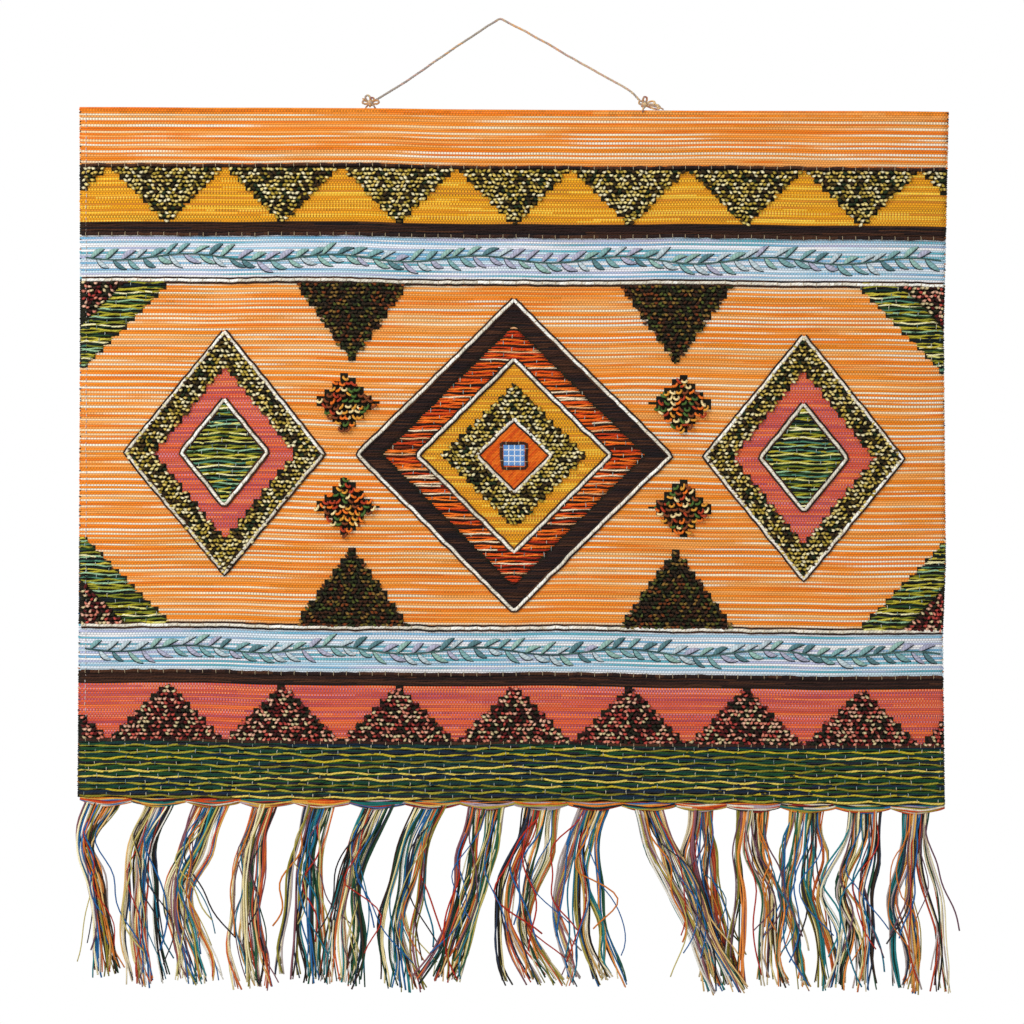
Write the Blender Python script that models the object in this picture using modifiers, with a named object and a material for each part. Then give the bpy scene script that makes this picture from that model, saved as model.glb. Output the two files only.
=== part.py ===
"""A hand-woven jute wall hanging: a woven panel with raised work on its face, sixteen warp tassels
along its lower edge, and a thin string, knotted to the upper edge, that hangs it from one nail.

Metres, +Z up, +X to the right, the face towards -Y and the wall side towards +Y.
The origin is where the string rests on its nail.
"""

import math
import random
from collections import namedtuple

import bmesh
import bpy
from mathutils import Vector

MM = 0.001

# Panel
PANEL_WIDTH = 0.900
PANEL_HEIGHT = 0.717
PANEL_CENTRE_X = 0.0145
PANEL_TOP_Z = -0.0928
PANEL_THICKNESS = 0.003
TOP_EDGE_SLOPE = -0.0058
BOTTOM_EDGE_SLOPE = -0.0092
GAP = 0.0003

# The pattern is counted in steps, as a weaver counts it
COLUMNS = 75
ROWS = 60

# How far each kind of raised work stands off the plain weave
TUFT_RISE = 0.0050
FLOAT_RISE = 0.0030
LOOP_RISE = 0.0060
PATCH_RISE = 0.0020
SATIN_RISE = 0.0015
MOST_RISE = max(TUFT_RISE, FLOAT_RISE, LOOP_RISE, PATCH_RISE, SATIN_RISE)

# Bands, in rows from the top
UPPER_TEETH_ROW = 5
LOWER_TEETH_ROW = 50
TEETH_ROWS = 5
TEETH_PERIOD = 10
FLOAT_BAND_ROW = 55

# Raised rings of each stepped diamond, as fractions of the way from its middle to its tips
Ring = namedtuple("Ring", "outer inner rise")
MIDDLE_RINGS = (
    Ring(1.00, 0.84, SATIN_RISE),
    Ring(0.84, 0.62, FLOAT_RISE),
    Ring(0.46, 0.24, TUFT_RISE),
    Ring(0.24, 0.00, PATCH_RISE),
)
SIDE_RINGS = (
    Ring(1.00, 0.72, TUFT_RISE),
    Ring(0.44, 0.00, FLOAT_RISE),
)
CORNER_RINGS = (
    Ring(1.00, 0.50, FLOAT_RISE),
    Ring(0.50, 0.00, TUFT_RISE),
)
TOOTH_RINGS = (Ring(1.00, 0.00, TUFT_RISE),)
STAR_RINGS = (Ring(1.00, 0.00, LOOP_RISE),)

# Diamonds: column and row of the middle, counted from the panel's middle, and half sizes in steps
Diamond = namedtuple("Diamond", "column row half_width half_height rings")
DIAMONDS = (
    Diamond(0.0, 0.0, 13.5, 13.5, MIDDLE_RINGS),
    Diamond(25.0, 0.0, 8.5, 10.5, SIDE_RINGS),
    Diamond(37.5, 15.0, 8.0, 8.0, CORNER_RINGS),
    Diamond(14.0, 15.0, 5.0, 7.0, TOOTH_RINGS),
    Diamond(14.5, 4.5, 2.6, 2.6, STAR_RINGS),
)

# How far the side edges stray from straight, at fractions of the height from the top
EdgeStray = namedtuple("EdgeStray", "down left right")
EDGE_STRAYS = (
    EdgeStray(0.00, 0.0 * MM, 0.0 * MM),
    EdgeStray(0.32, 0.5 * MM, -5.2 * MM),
    EdgeStray(0.65, -0.5 * MM, -3.1 * MM),
    EdgeStray(0.76, -1.0 * MM, -6.2 * MM),
    EdgeStray(1.00, -2.0 * MM, -4.1 * MM),
)

# Shallow standing waves across the panel, where it hangs off the wall
Wave = namedtuple("Wave", "length height phase")
WAVES = (
    Wave(0.62, 0.0022, 0.6),
    Wave(0.27, 0.0010, 2.1),
    Wave(0.13, 0.0004, 4.0),
)

# Tassels: where each leaves the edge, how far its course has moved sideways at four depths,
# how long it hangs, half its width at the tips and how far its tips lean towards the viewer, in mm
Tassel = namedtuple("Tassel", "root waist middle low tip length spread lean")
TASSELS = (
    Tassel(-412, -17, -14, -6, 4, 175, 15, 2),
    Tassel(-353, -21, -28, -20, -8, 184, 15, 3),
    Tassel(-298, -24, -43, -44, -31, 181, 15, 5),
    Tassel(-243, -16, -24, -20, -6, 186, 15, 2),
    Tassel(-186, -16, -19, -22, -14, 180, 15, 3),
    Tassel(-126, -24, -39, -41, -43, 182, 16, 5),
    Tassel(-70, -25, -37, -38, -31, 187, 17, 2),
    Tassel(-13, -12, -9, -20, -33, 178, 22, 6),
    Tassel(43, -27, -36, -33, -14, 181, 15, 3),
    Tassel(98, -25, -33, -36, -18, 180, 22, 2),
    Tassel(154, 26, 42, 57, 73, 186, 15, 11),
    Tassel(209, 1, 3, 10, 22, 178, 15, 0),
    Tassel(262, 0, 2, 8, 22, 180, 17, 6),
    Tassel(318, -14, -10, 2, 13, 182, 15, 2),
    Tassel(377, -14, -17, -13, -6, 181, 20, 4),
    Tassel(431, -3, 2, 5, 12, 184, 22, 2),
)
COURSE_DEPTHS = (0.0, 0.24, 0.51, 0.76, 1.0)
LEAN_DEPTH = 0.45
LOCKS_PER_ROW = (7, 6)
LOCK_ROW_GAP = 0.0052
LOCK_POINTS = 6
LOCK_ROOT_RADIUS = 0.00145
LOCK_TIP_RADIUS = 0.00115
LOCK_UNEVENNESS = 0.009
ROOT_HALF_WIDTH = 0.0115
WAIST_HALF_WIDTH = 0.0112

# The bound bundle of warp ends that each tassel hangs from
BUNDLE_HEIGHT = 0.0090
BUNDLE_END_HEIGHT = 0.0026
BUNDLE_THICKNESS = 0.0100
BUNDLE_CHAMFER = 0.0012
BUNDLE_END_GAP = 0.0004
BUNDLE_ARC_POINTS = 6

# Hanging string: the places of its underside between the knots, laid over the nail at the origin
STRING_DIAMETER = 0.0025
STRING_STEP = 0.0052
STRING_ROUTE_MM = (
    (-118.0, -77.6),
    (-96.0, -63.8),
    (-70.0, -46.0),
    (-44.0, -28.2),
    (-20.0, -12.4),
    (-6.0, -3.3),
    (0.0, 0.0),
    (6.0, -2.4),
    (22.0, -10.8),
    (50.0, -26.4),
    (80.0, -43.6),
    (110.0, -60.6),
    (134.0, -74.2),
)

# Knots on the upper edge: place along it, half sizes, and the short loose ends of each
Knot = namedtuple("Knot", "name x half_width half_depth half_height tails")
KNOTS = (
    Knot("knot_left", -0.1345, 0.0052, 0.0042, 0.0054, ((-0.0085, 0.0062), (0.0010, 0.0110))),
    Knot("knot_right", 0.1495, 0.0052, 0.0042, 0.0054, ((0.0150, -0.0020), (0.0070, 0.0065))),
)
TAIL_RADIUS = 0.0010

COLOURS = {
    "woven_panel": (0.72, 0.28, 0.08),
    "tassels": (0.30, 0.22, 0.10),
    "string": (0.62, 0.42, 0.30),
}


def clear_scene():
    for old in list(bpy.data.objects):
        bpy.data.objects.remove(old, do_unlink=True)


def material(name, colour, roughness=0.95):
    made = bpy.data.materials.new(name)
    made.use_nodes = True
    shader = made.node_tree.nodes["Principled BSDF"]
    shader.inputs["Base Color"].default_value = (*colour, 1.0)
    shader.inputs["Roughness"].default_value = roughness
    return made


def read_curve(value, table, key, field):
    """A straight-line reading, between a table's rows, of the field at the key's value."""
    for low, high in zip(table, table[1:]):
        start = getattr(low, key)
        end = getattr(high, key)
        if value <= end:
            share = (value - start) / (end - start)
            return getattr(low, field) * (1 - share) + getattr(high, field) * share
    return getattr(table[-1], field)


def smooth_through(knots, count):
    """Points at even steps along a smooth curve through a few points of any size."""
    ends = [2 * knots[0] - knots[1]] + list(knots) + [2 * knots[-1] - knots[-2]]
    fine = []
    pieces = 24
    for before, start, end, after in zip(ends, ends[1:], ends[2:], ends[3:]):
        for step in range(pieces):
            t = step / pieces
            fine.append(
                0.5 * (2 * start
                       + (end - before) * t
                       + (2 * before - 5 * start + 4 * end - after) * t ** 2
                       + (3 * start - before - 3 * end + after) * t ** 3)
            )
    fine.append(knots[-1])
    lengths = [0.0]
    for start, end in zip(fine, fine[1:]):
        lengths.append(lengths[-1] + (end - start).length)
    points = []
    place = 0
    for index in range(count):
        goal = lengths[-1] * index / (count - 1)
        while place < len(fine) - 2 and lengths[place + 1] < goal:
            place += 1
        span = lengths[place + 1] - lengths[place]
        points.append(fine[place].lerp(fine[place + 1], (goal - lengths[place]) / span))
    return points


def panel_wave(x):
    """How far the panel stands from its mean depth at a distance along its width."""
    return sum(
        wave.height * math.sin(2 * math.pi * x / wave.length + wave.phase) for wave in WAVES
    )


def top_edge_z(x):
    return PANEL_TOP_Z + TOP_EDGE_SLOPE * (x - PANEL_CENTRE_X)


def bottom_edge_z(x):
    return PANEL_TOP_Z - PANEL_HEIGHT + BOTTOM_EDGE_SLOPE * (x - PANEL_CENTRE_X)


def rise_at(column, row):
    """Height of the raised work at a point counted in steps from the panel's middle."""
    across = abs(column)
    down = row + ROWS / 2
    for diamond in DIAMONDS:
        reach = (abs(across - diamond.column) / diamond.half_width
                 + abs(abs(row) - diamond.row) / diamond.half_height)
        in_field = abs(row) <= 15
        for ring in diamond.rings:
            if in_field and ring.inner <= reach < ring.outer:
                return ring.rise
    from_tooth = abs((across + TEETH_PERIOD / 2) % TEETH_PERIOD - TEETH_PERIOD / 2)
    tooth_depth = TEETH_ROWS - from_tooth
    if 0 <= down - UPPER_TEETH_ROW < tooth_depth:
        return TUFT_RISE
    if 0 <= LOWER_TEETH_ROW + TEETH_ROWS - down < tooth_depth:
        return TUFT_RISE
    if down > FLOAT_BAND_ROW:
        return FLOAT_RISE
    return 0.0


def make_panel(collection, finish):
    """An open sheet on the panel's waves, thickened towards the face by what is worked there."""
    mesh = bpy.data.meshes.new("woven_panel")
    sheet = bmesh.new()
    bmesh.ops.create_grid(sheet, x_segments=COLUMNS, y_segments=ROWS, size=0.5)
    most = PANEL_THICKNESS + MOST_RISE
    shares = []
    for vertex in sheet.verts:
        across = vertex.co.x
        down = 0.5 - vertex.co.y
        rise = rise_at(across * COLUMNS, (down - 0.5) * ROWS)
        x = PANEL_CENTRE_X + across * PANEL_WIDTH
        y = PANEL_THICKNESS / 2 + panel_wave(x)
        z = PANEL_TOP_Z - down * PANEL_HEIGHT
        side = 1 if across > 0 else -1
        if abs(across) > 0.5 - 0.5 / COLUMNS:
            # a stray edge stays in the plane of its own column, so the wall side stays even
            stray = read_curve(down, EDGE_STRAYS, "down", "right" if side > 0 else "left")
            inner = x - side * PANEL_WIDTH / COLUMNS
            slope = (panel_wave(x) - panel_wave(inner)) / (x - inner)
            x += stray
            y += slope * stray
            rise = 0.0
        if down < 0.5 / ROWS:
            z = top_edge_z(x)
        if down > 1 - 0.5 / ROWS:
            z = bottom_edge_z(x)
        vertex.co = (x, y, z)
        shares.append((PANEL_THICKNESS + rise) / most)
    for face in sheet.faces:
        face.smooth = False
    bmesh.ops.recalc_face_normals(sheet, faces=sheet.faces)
    if next(iter(sheet.faces)).normal.y > 0:
        bmesh.ops.reverse_faces(sheet, faces=sheet.faces)
    sheet.to_mesh(mesh)
    sheet.free()
    panel = bpy.data.objects.new("woven_panel", mesh)
    collection.objects.link(panel)
    thick = panel.vertex_groups.new(name="thickness")
    for index, share in enumerate(shares):
        thick.add([index], share, "REPLACE")
    shell = panel.modifiers.new("thickness", "SOLIDIFY")
    shell.thickness = most
    shell.offset = 1.0
    shell.vertex_group = "thickness"
    panel.data.materials.append(finish)
    return panel


def tube(name, points, radii, sides_resolution, profile=None):
    """A curve object with filled caps through the points, thickened to the radii."""
    curve = bpy.data.curves.new(name, "CURVE")
    curve.dimensions = "3D"
    curve.use_fill_caps = True
    curve.twist_mode = "MINIMUM"
    if profile is None:
        curve.bevel_depth = 1.0
        curve.bevel_resolution = sides_resolution
    else:
        curve.bevel_mode = "OBJECT"
        curve.bevel_object = profile
    spline = curve.splines.new("POLY")
    spline.points.add(len(points) - 1)
    for place, point, radius in zip(spline.points, points, radii):
        place.co = (*point, 1.0)
        place.radius = radius
    return bpy.data.objects.new(name, curve)


def as_mesh(made, collection):
    """The same shape as a mesh, its caps welded, in place of the curve object."""
    bpy.context.view_layer.update()
    graph = bpy.context.evaluated_depsgraph_get()
    mesh = bpy.data.meshes.new_from_object(made.evaluated_get(graph))
    welded = bmesh.new()
    welded.from_mesh(mesh)
    bmesh.ops.remove_doubles(welded, verts=welded.verts, dist=0.00001)
    bmesh.ops.recalc_face_normals(welded, faces=welded.faces)
    welded.to_mesh(mesh)
    welded.free()
    name = made.name
    place = made.matrix_world.copy()
    bpy.data.objects.remove(made, do_unlink=True)
    solid = bpy.data.objects.new(name, mesh)
    solid.matrix_world = place
    collection.objects.link(solid)
    return solid


def lock_profile(collection):
    """The three-sided section that every lock of the fringe is swept with."""
    curve = bpy.data.curves.new("lock_section", "CURVE")
    curve.dimensions = "2D"
    spline = curve.splines.new("POLY")
    spline.points.add(2)
    for index, place in enumerate(spline.points):
        angle = 2 * math.pi * index / 3
        place.co = (math.cos(angle), math.sin(angle), 0.0, 1.0)
    spline.use_cyclic_u = True
    section = bpy.data.objects.new("lock_section", curve)
    section.hide_render = True
    section.display_type = "WIRE"
    collection.objects.link(section)
    return section


def lock_points(tassel, share, row, rng):
    """The course of one lock: its own place in the tassel's width, carried down its length."""
    root_x = tassel.root * MM
    root_z = bottom_edge_z(root_x) - GAP - BUNDLE_HEIGHT * 0.6
    length = tassel.length * MM + rng.uniform(-1, 1) * LOCK_UNEVENNESS - BUNDLE_HEIGHT * 0.4
    shifts = (0.0, tassel.waist, tassel.middle, tassel.low, tassel.tip)
    widths = (
        ROOT_HALF_WIDTH,
        WAIST_HALF_WIDTH,
        WAIST_HALF_WIDTH,
        0.5 * (WAIST_HALF_WIDTH + tassel.spread * MM),
        tassel.spread * MM,
    )
    behind = LOCK_ROW_GAP * (row - 0.5)
    course = []
    for depth, shift, width in zip(COURSE_DEPTHS, shifts, widths):
        forward = min(1.0, depth / LEAN_DEPTH)
        course.append(Vector((
            root_x + shift * MM + share * width,
            panel_wave(root_x) + behind - tassel.lean * MM * math.sin(forward * math.pi / 2),
            root_z - length * depth,
        )))
    return smooth_through(course, LOCK_POINTS)


def make_locks(number, tassel, section, collection, rng):
    """All the locks of one tassel in one object, each a closed three-sided tube."""
    parts = []
    for row, count in enumerate(LOCKS_PER_ROW):
        for index in range(count):
            share = (2 * index - (count - 1)) / (LOCKS_PER_ROW[0] - 1)
            points = lock_points(tassel, share, row, rng)
            radii = [
                LOCK_ROOT_RADIUS + (LOCK_TIP_RADIUS - LOCK_ROOT_RADIUS) * step / (len(points) - 1)
                for step in range(len(points))
            ]
            lock = tube(f"lock_{number}_{row}_{index}", points, radii, 0, section)
            collection.objects.link(lock)
            parts.append(as_mesh(lock, collection))
    joined = bmesh.new()
    for part in parts:
        joined.from_mesh(part.data)
        bpy.data.objects.remove(part, do_unlink=True)
    mesh = bpy.data.meshes.new(f"locks_{number:02d}")
    joined.to_mesh(mesh)
    joined.free()
    locks = bpy.data.objects.new(f"locks_{number:02d}", mesh)
    locks.hide_render = True
    locks.display_type = "WIRE"
    collection.objects.link(locks)
    return locks


def make_bundle(name, left, right, collection):
    """The bound warp ends: a flat-topped, round-bellied plate that tapers to both ends."""
    centre = (left + right) / 2
    half = (right - left) / 2 - BUNDLE_END_GAP
    curve = bpy.data.curves.new(name, "CURVE")
    curve.dimensions = "2D"
    curve.fill_mode = "BOTH"
    curve.extrude = BUNDLE_THICKNESS / 2 - BUNDLE_CHAMFER
    curve.bevel_depth = BUNDLE_CHAMFER
    curve.bevel_resolution = 0
    curve.offset = -BUNDLE_CHAMFER
    outline = [(-half, 0.0), (half, 0.0)]
    for index in range(BUNDLE_ARC_POINTS):
        across = half * (1 - 2 * index / (BUNDLE_ARC_POINTS - 1))
        belly = (BUNDLE_HEIGHT - BUNDLE_END_HEIGHT) * (1 - (across / half) ** 2)
        outline.append((across, -BUNDLE_END_HEIGHT - belly))
    spline = curve.splines.new("POLY")
    spline.points.add(len(outline) - 1)
    for place, (across, down) in zip(spline.points, outline):
        place.co = (across, down, 0.0, 1.0)
    spline.use_cyclic_u = True
    made = bpy.data.objects.new(name, curve)
    made.rotation_euler = (math.radians(90), math.atan(-BOTTOM_EDGE_SLOPE), 0.0)
    made.location = (centre, panel_wave(centre), bottom_edge_z(centre) - GAP)
    collection.objects.link(made)
    return as_mesh(made, collection)


def make_tassels(collection, guides, finish):
    rng = random.Random(16)
    section = lock_profile(guides)
    roots = [tassel.root * MM for tassel in TASSELS]
    edges = [PANEL_CENTRE_X - PANEL_WIDTH / 2]
    edges += [(start + end) / 2 for start, end in zip(roots, roots[1:])]
    edges += [PANEL_CENTRE_X + PANEL_WIDTH / 2 - 0.004]
    for index, tassel in enumerate(TASSELS):
        number = index + 1
        bundle = make_bundle(f"tassel_{number:02d}", edges[index], edges[index + 1], collection)
        locks = make_locks(number, tassel, section, guides, rng)
        join = bundle.modifiers.new("locks", "BOOLEAN")
        join.operation = "UNION"
        join.solver = "EXACT"
        join.object = locks
        bundle.data.materials.append(finish)


def knot_middle(knot):
    return Vector((knot.x, 0.0, top_edge_z(knot.x) + GAP + knot.half_height))


def seat_on(knot, towards):
    """Where a string that comes from a point meets the knot's lump, a small gap off it."""
    way = (towards - knot_middle(knot)).normalized()
    reach = 1 / math.hypot(way.x / knot.half_width, way.z / knot.half_height)
    return knot_middle(knot) + way * (reach + GAP)


def make_string(collection, finish):
    """The string, from knot to knot, with its underside resting on the nail at the origin."""
    route = [Vector((x * MM, 0.0, z * MM + STRING_DIAMETER / 2)) for x, z in STRING_ROUTE_MM]
    route = [seat_on(KNOTS[0], route[0])] + route + [seat_on(KNOTS[1], route[-1])]
    length = sum((end - start).length for start, end in zip(route, route[1:]))
    points = smooth_through(route, round(length / STRING_STEP) + 1)
    radii = [STRING_DIAMETER / 2] * len(points)
    string = tube("hanging_string", points, radii, 2)
    collection.objects.link(string)
    string.data.materials.append(finish)
    return string


def make_knot(knot, collection, guides, finish):
    """A lump of wound string seated on the upper edge, with its cut ends joined to it."""
    mesh = bpy.data.meshes.new(knot.name)
    lump = bmesh.new()
    bmesh.ops.create_uvsphere(lump, u_segments=10, v_segments=7, radius=1.0)
    for vertex in lump.verts:
        vertex.co = Vector((
            vertex.co.x * knot.half_width,
            vertex.co.y * knot.half_depth,
            vertex.co.z * knot.half_height,
        ))
    lump.to_mesh(mesh)
    lump.free()
    made = bpy.data.objects.new(knot.name, mesh)
    middle = knot_middle(knot)
    made.location = middle
    collection.objects.link(made)
    made.data.materials.append(finish)
    for index, (x, z) in enumerate(knot.tails):
        end = Vector((x, -0.0005, z))
        course = [middle + end * 0.2, middle + end * 0.62 + Vector((0, -0.0012, 0.0008)), middle + end]
        points = smooth_through(course, 5)
        tail = tube(f"{knot.name}_tail_{index}", points, [TAIL_RADIUS] * len(points), 1)
        guides.objects.link(tail)
        solid = as_mesh(tail, guides)
        solid.hide_render = True
        solid.display_type = "WIRE"
        join = made.modifiers.new(f"tail_{index}", "BOOLEAN")
        join.operation = "UNION"
        join.solver = "EXACT"
        join.object = solid
    return made


def main():
    clear_scene()
    hanging = bpy.data.collections.new("jute_wall_hanging")
    guides = bpy.data.collections.new("guides")
    bpy.context.scene.collection.children.link(hanging)
    bpy.context.scene.collection.children.link(guides)
    make_panel(hanging, material("woven_panel", COLOURS["woven_panel"]))
    make_tassels(hanging, guides, material("tassels", COLOURS["tassels"]))
    twine = material("string", COLOURS["string"])
    make_string(hanging, twine)
    for knot in KNOTS:
        make_knot(knot, hanging, guides, twine)


main()
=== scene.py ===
"""Looks of a hand-woven jute wall hanging: a weft-faced panel with raised work on its face, bound
warp ends with long tassels along its lower edge, and the thin knotted string it hangs from."""

import math
from collections import namedtuple

import bpy
import numpy as np
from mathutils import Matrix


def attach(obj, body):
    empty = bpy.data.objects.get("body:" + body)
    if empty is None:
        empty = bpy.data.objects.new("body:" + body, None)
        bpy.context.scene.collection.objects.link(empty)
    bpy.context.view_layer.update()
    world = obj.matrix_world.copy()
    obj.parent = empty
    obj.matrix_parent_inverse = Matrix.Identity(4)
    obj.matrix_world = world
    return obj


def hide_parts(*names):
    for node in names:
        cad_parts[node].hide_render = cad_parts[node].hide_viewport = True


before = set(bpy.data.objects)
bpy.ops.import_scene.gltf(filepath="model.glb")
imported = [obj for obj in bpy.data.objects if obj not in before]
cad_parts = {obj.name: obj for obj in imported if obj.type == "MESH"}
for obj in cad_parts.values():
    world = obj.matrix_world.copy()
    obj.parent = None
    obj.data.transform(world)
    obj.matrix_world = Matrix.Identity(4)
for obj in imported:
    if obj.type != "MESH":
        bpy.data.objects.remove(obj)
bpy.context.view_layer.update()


# The camera stands straight in front of the hanging, level with the middle of its height, far
# enough off that the rows of the weave stay parallel.
VIEW_WIDTH = 1.0618
LENS = 100.0
SENSOR = 36.0
CAMERA_X = 0.0124
CAMERA_Z = -0.5101

camera = bpy.data.objects.new("camera", bpy.data.cameras.new("camera"))
bpy.context.scene.collection.objects.link(camera)
camera.data.lens = LENS
camera.data.sensor_width = SENSOR
camera.location = (CAMERA_X, -VIEW_WIDTH * LENS / SENSOR, CAMERA_Z)
camera.rotation_euler = (math.radians(90), 0.0, 0.0)
bpy.context.scene.camera = camera


# The hanging string is three thin plies of odd leftover yarn twisted together. It lies over one
# nail, at the origin, and is tied to the panel's upper edge at both ends.
MM = 0.001
STRING_DIAMETER = 0.0025
STRING_STEP = 0.0011
STRING_TURN = 0.0085
PLY_RADIUS = 0.00072
PLY_OFFSET = 0.00058
STRING_LEFT_END = (-0.12974, 0.0, -0.08338)
STRING_RIGHT_END = (0.14547, 0.0, -0.08400)
STRING_UNDERSIDE_MM = (
    (-118.0, -77.6), (-96.0, -63.8), (-70.0, -46.0), (-44.0, -28.2), (-20.0, -12.4), (-6.0, -3.3),
    (0.0, 0.0), (6.0, -2.4), (22.0, -10.8), (50.0, -26.4), (80.0, -43.6), (110.0, -60.6), (134.0, -74.2),
)
STRING_COLOURS = ((0.80, 0.72, 0.62), (0.70, 0.65, 0.58), (0.85, 0.74, 0.60), (0.90, 0.68, 0.46),
                  (0.66, 0.61, 0.58), (0.82, 0.66, 0.60))
PLIES = 3
PLY_UNEVEN = (0.86, 1.14)
STRING_KINK = 0.00022
STRING_KINKS = 40
COLOUR_CHANGE = 0.03
SHADE_UNEVEN = (0.86, 1.1)
CURVE_STEPS = 24
FIBRE_STRETCH = (0.7, 14.0, 1.0)
FIBRE_HEIGHT = 0.5
SLUB_SCALE = 0.16
# The furrows between the plies are painted darker and the ply crests lighter: painted shade and light.
PLY_FURROW_PAINTED_SHADE = 0.44
PLY_CREST_PAINTED_LIGHT = 0.34
FIBRE_LIGHT = 0.34
SLUB_LIGHT = 0.30
YARN_BUMP = 0.8
YARN_ROUGHNESS = 0.92
YARN_SHEEN_ROUGHNESS = 0.55
YARN_SHEEN = 0.05
YARN_SPECULAR = 0.12


def linear(colours):
    """Screen colours as the light values that a shader works in."""
    colours = np.asarray(colours, float)
    return np.where(colours <= 0.04045, colours / 12.92, ((colours + 0.055) / 1.055) ** 2.4)


def length_along(course):
    """How far each point of a course lies from its start."""
    steps = np.linalg.norm(np.diff(course, axis=-2), axis=-1)
    return np.concatenate([np.zeros_like(steps[..., :1]), np.cumsum(steps, axis=-1)], axis=-1)


def smooth_through(knots, count):
    """Points at even steps along a smooth curve through a few points."""
    knots = np.asarray(knots, float)
    ends = np.vstack([2 * knots[0] - knots[1], knots, 2 * knots[-1] - knots[-2]])
    t = np.linspace(0, 1, CURVE_STEPS, endpoint=False)[:, None]
    fine = []
    for before, start, end, after in zip(ends, ends[1:], ends[2:], ends[3:]):
        fine.append(0.5 * (2 * start + (end - before) * t
                           + (2 * before - 5 * start + 4 * end - after) * t ** 2
                           + (3 * start - before - 3 * end + after) * t ** 3))
    fine = np.vstack(fine + [knots[-1:]])
    run = length_along(fine)
    goals = np.linspace(0, run[-1], count)
    return np.stack([np.interp(goals, run, fine[:, axis]) for axis in range(3)], axis=1)


def twisted(course, turn, offset, share):
    """The course of one ply that winds round a course, a share of a turn on from the first."""
    along = np.gradient(course, axis=0)
    along /= np.linalg.norm(along, axis=1, keepdims=True)
    front = np.array((0.0, 1.0, 0.0)) - along[:, 1:2] * along
    front /= np.linalg.norm(front, axis=1, keepdims=True)
    angle = 2 * np.pi * (length_along(course) / turn + share)[:, None]
    return course + offset * (np.cos(angle) * front + np.sin(angle) * np.cross(along, front))


def drifting(colours, shape, change, rng):
    """A colour for each step of some yarns, each of which now and then passes into another."""
    colours = linear(colours)
    turns = rng.random(shape) < change
    turns[..., 0] = True
    picks = rng.integers(len(colours), size=shape)
    since = np.maximum.accumulate(np.where(turns, np.arange(shape[-1]), 0), axis=-1)
    lasting = np.take_along_axis(picks, since, axis=-1)
    return colours[lasting] * rng.uniform(*SHADE_UNEVEN, shape)[..., None]


def mesh_of(name, points, corners, sizes):
    """A smooth mesh of faces of some sizes, from the points at their corners, one after another."""
    mesh = bpy.data.meshes.new(name)
    mesh.vertices.add(len(points))
    mesh.vertices.foreach_set("co", points.ravel())
    mesh.loops.add(len(corners))
    mesh.loops.foreach_set("vertex_index", corners.astype(np.int32))
    mesh.polygons.add(len(sizes))
    mesh.polygons.foreach_set("loop_start", (np.cumsum(sizes) - sizes).astype(np.int32))
    mesh.update(calc_edges=True)
    mesh.shade_smooth()
    return mesh


class YarnHeap:
    """Many yarns gathered into the mesh of one piece.

    Each face keeps its yarn's colour in the attribute "shade", and its corners keep their places
    along and around the yarn, in millimetres and turns, in the map "lay"."""

    def __init__(self):
        self.points = []
        self.faces = []
        self.sizes = []
        self.shades = []
        self.lays = []
        self.count = 0

    def add_faces(self, faces, shades, lays):
        """Faces of one size, with a shade for each and a lay for each of their corners."""
        self.faces.append(faces.ravel())
        self.sizes.append(np.full(len(faces), faces.shape[1]))
        self.shades.append(np.repeat(shades, faces.shape[1], axis=0))
        self.lays.append(lays.reshape(-1, 2))

    def add_yarns(self, courses, radius, shades, sides=5, across=(0, 1, 0), flat=1.0):
        """Yarns of as many steps each, on courses that never run the way across points.

        The radius is one number, or one a point. The shades are one a yarn, or one a step."""
        courses = np.asarray(courses, float)
        if courses.ndim == 2:
            courses = courses[None]
        yarns, steps = courses.shape[:2]
        along = np.gradient(courses, axis=1)
        along /= np.linalg.norm(along, axis=2, keepdims=True)
        across = np.broadcast_to(np.asarray(across, float), along.shape)
        first = across - (along * across).sum(axis=2, keepdims=True) * along
        first /= np.linalg.norm(first, axis=2, keepdims=True)
        second = np.cross(along, first)
        angle = 2 * np.pi * np.arange(sides) / sides
        ring = (flat * np.cos(angle)[:, None] * first[:, :, None]
                + np.sin(angle)[:, None] * second[:, :, None])
        radius = np.broadcast_to(radius, (yarns, steps))[:, :, None, None]
        self.points.append((courses[:, :, None] + radius * ring).reshape(-1, 3))
        index = self.count + np.arange(yarns * steps * sides).reshape(yarns, steps, sides)
        self.count += index.size
        low, high = index[:, :-1], index[:, 1:]
        faces = np.stack([low, np.roll(low, -1, 2), np.roll(high, -1, 2), high], axis=-1)
        shades = np.asarray(shades, float)
        if shades.ndim < 3:
            shades = shades.reshape(-1, 1, 3)
        shades = np.broadcast_to(shades, (yarns, steps - 1, 3))
        lays = np.zeros((yarns, steps - 1, sides, 4, 2))
        run = length_along(courses)[:, :, None, None] / MM
        lays[..., :2, 0] = run[:, :-1]
        lays[..., 2:, 0] = run[:, 1:]
        lays[..., 1] = (np.arange(sides)[:, None] + np.array((0, 1, 1, 0))) / sides
        self.add_faces(faces.reshape(-1, 4), np.repeat(shades.reshape(-1, 3), sides, axis=0), lays)
        caps = np.concatenate([index[:, 0, ::-1], index[:, -1]])
        cap_shades = np.concatenate([shades[:, 0], shades[:, -1]])
        self.add_faces(caps, cap_shades, np.zeros((2 * yarns, sides, 2)))

    def as_piece(self, name, material):
        """The heap as one piece of the hanging."""
        mesh = mesh_of(name, np.concatenate(self.points), np.concatenate(self.faces),
                       np.concatenate(self.sizes))
        colour_corners(mesh, "shade", np.concatenate(self.shades))
        map_corners(mesh, "lay", np.concatenate(self.lays))
        return hang_piece(name, mesh, material)


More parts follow.
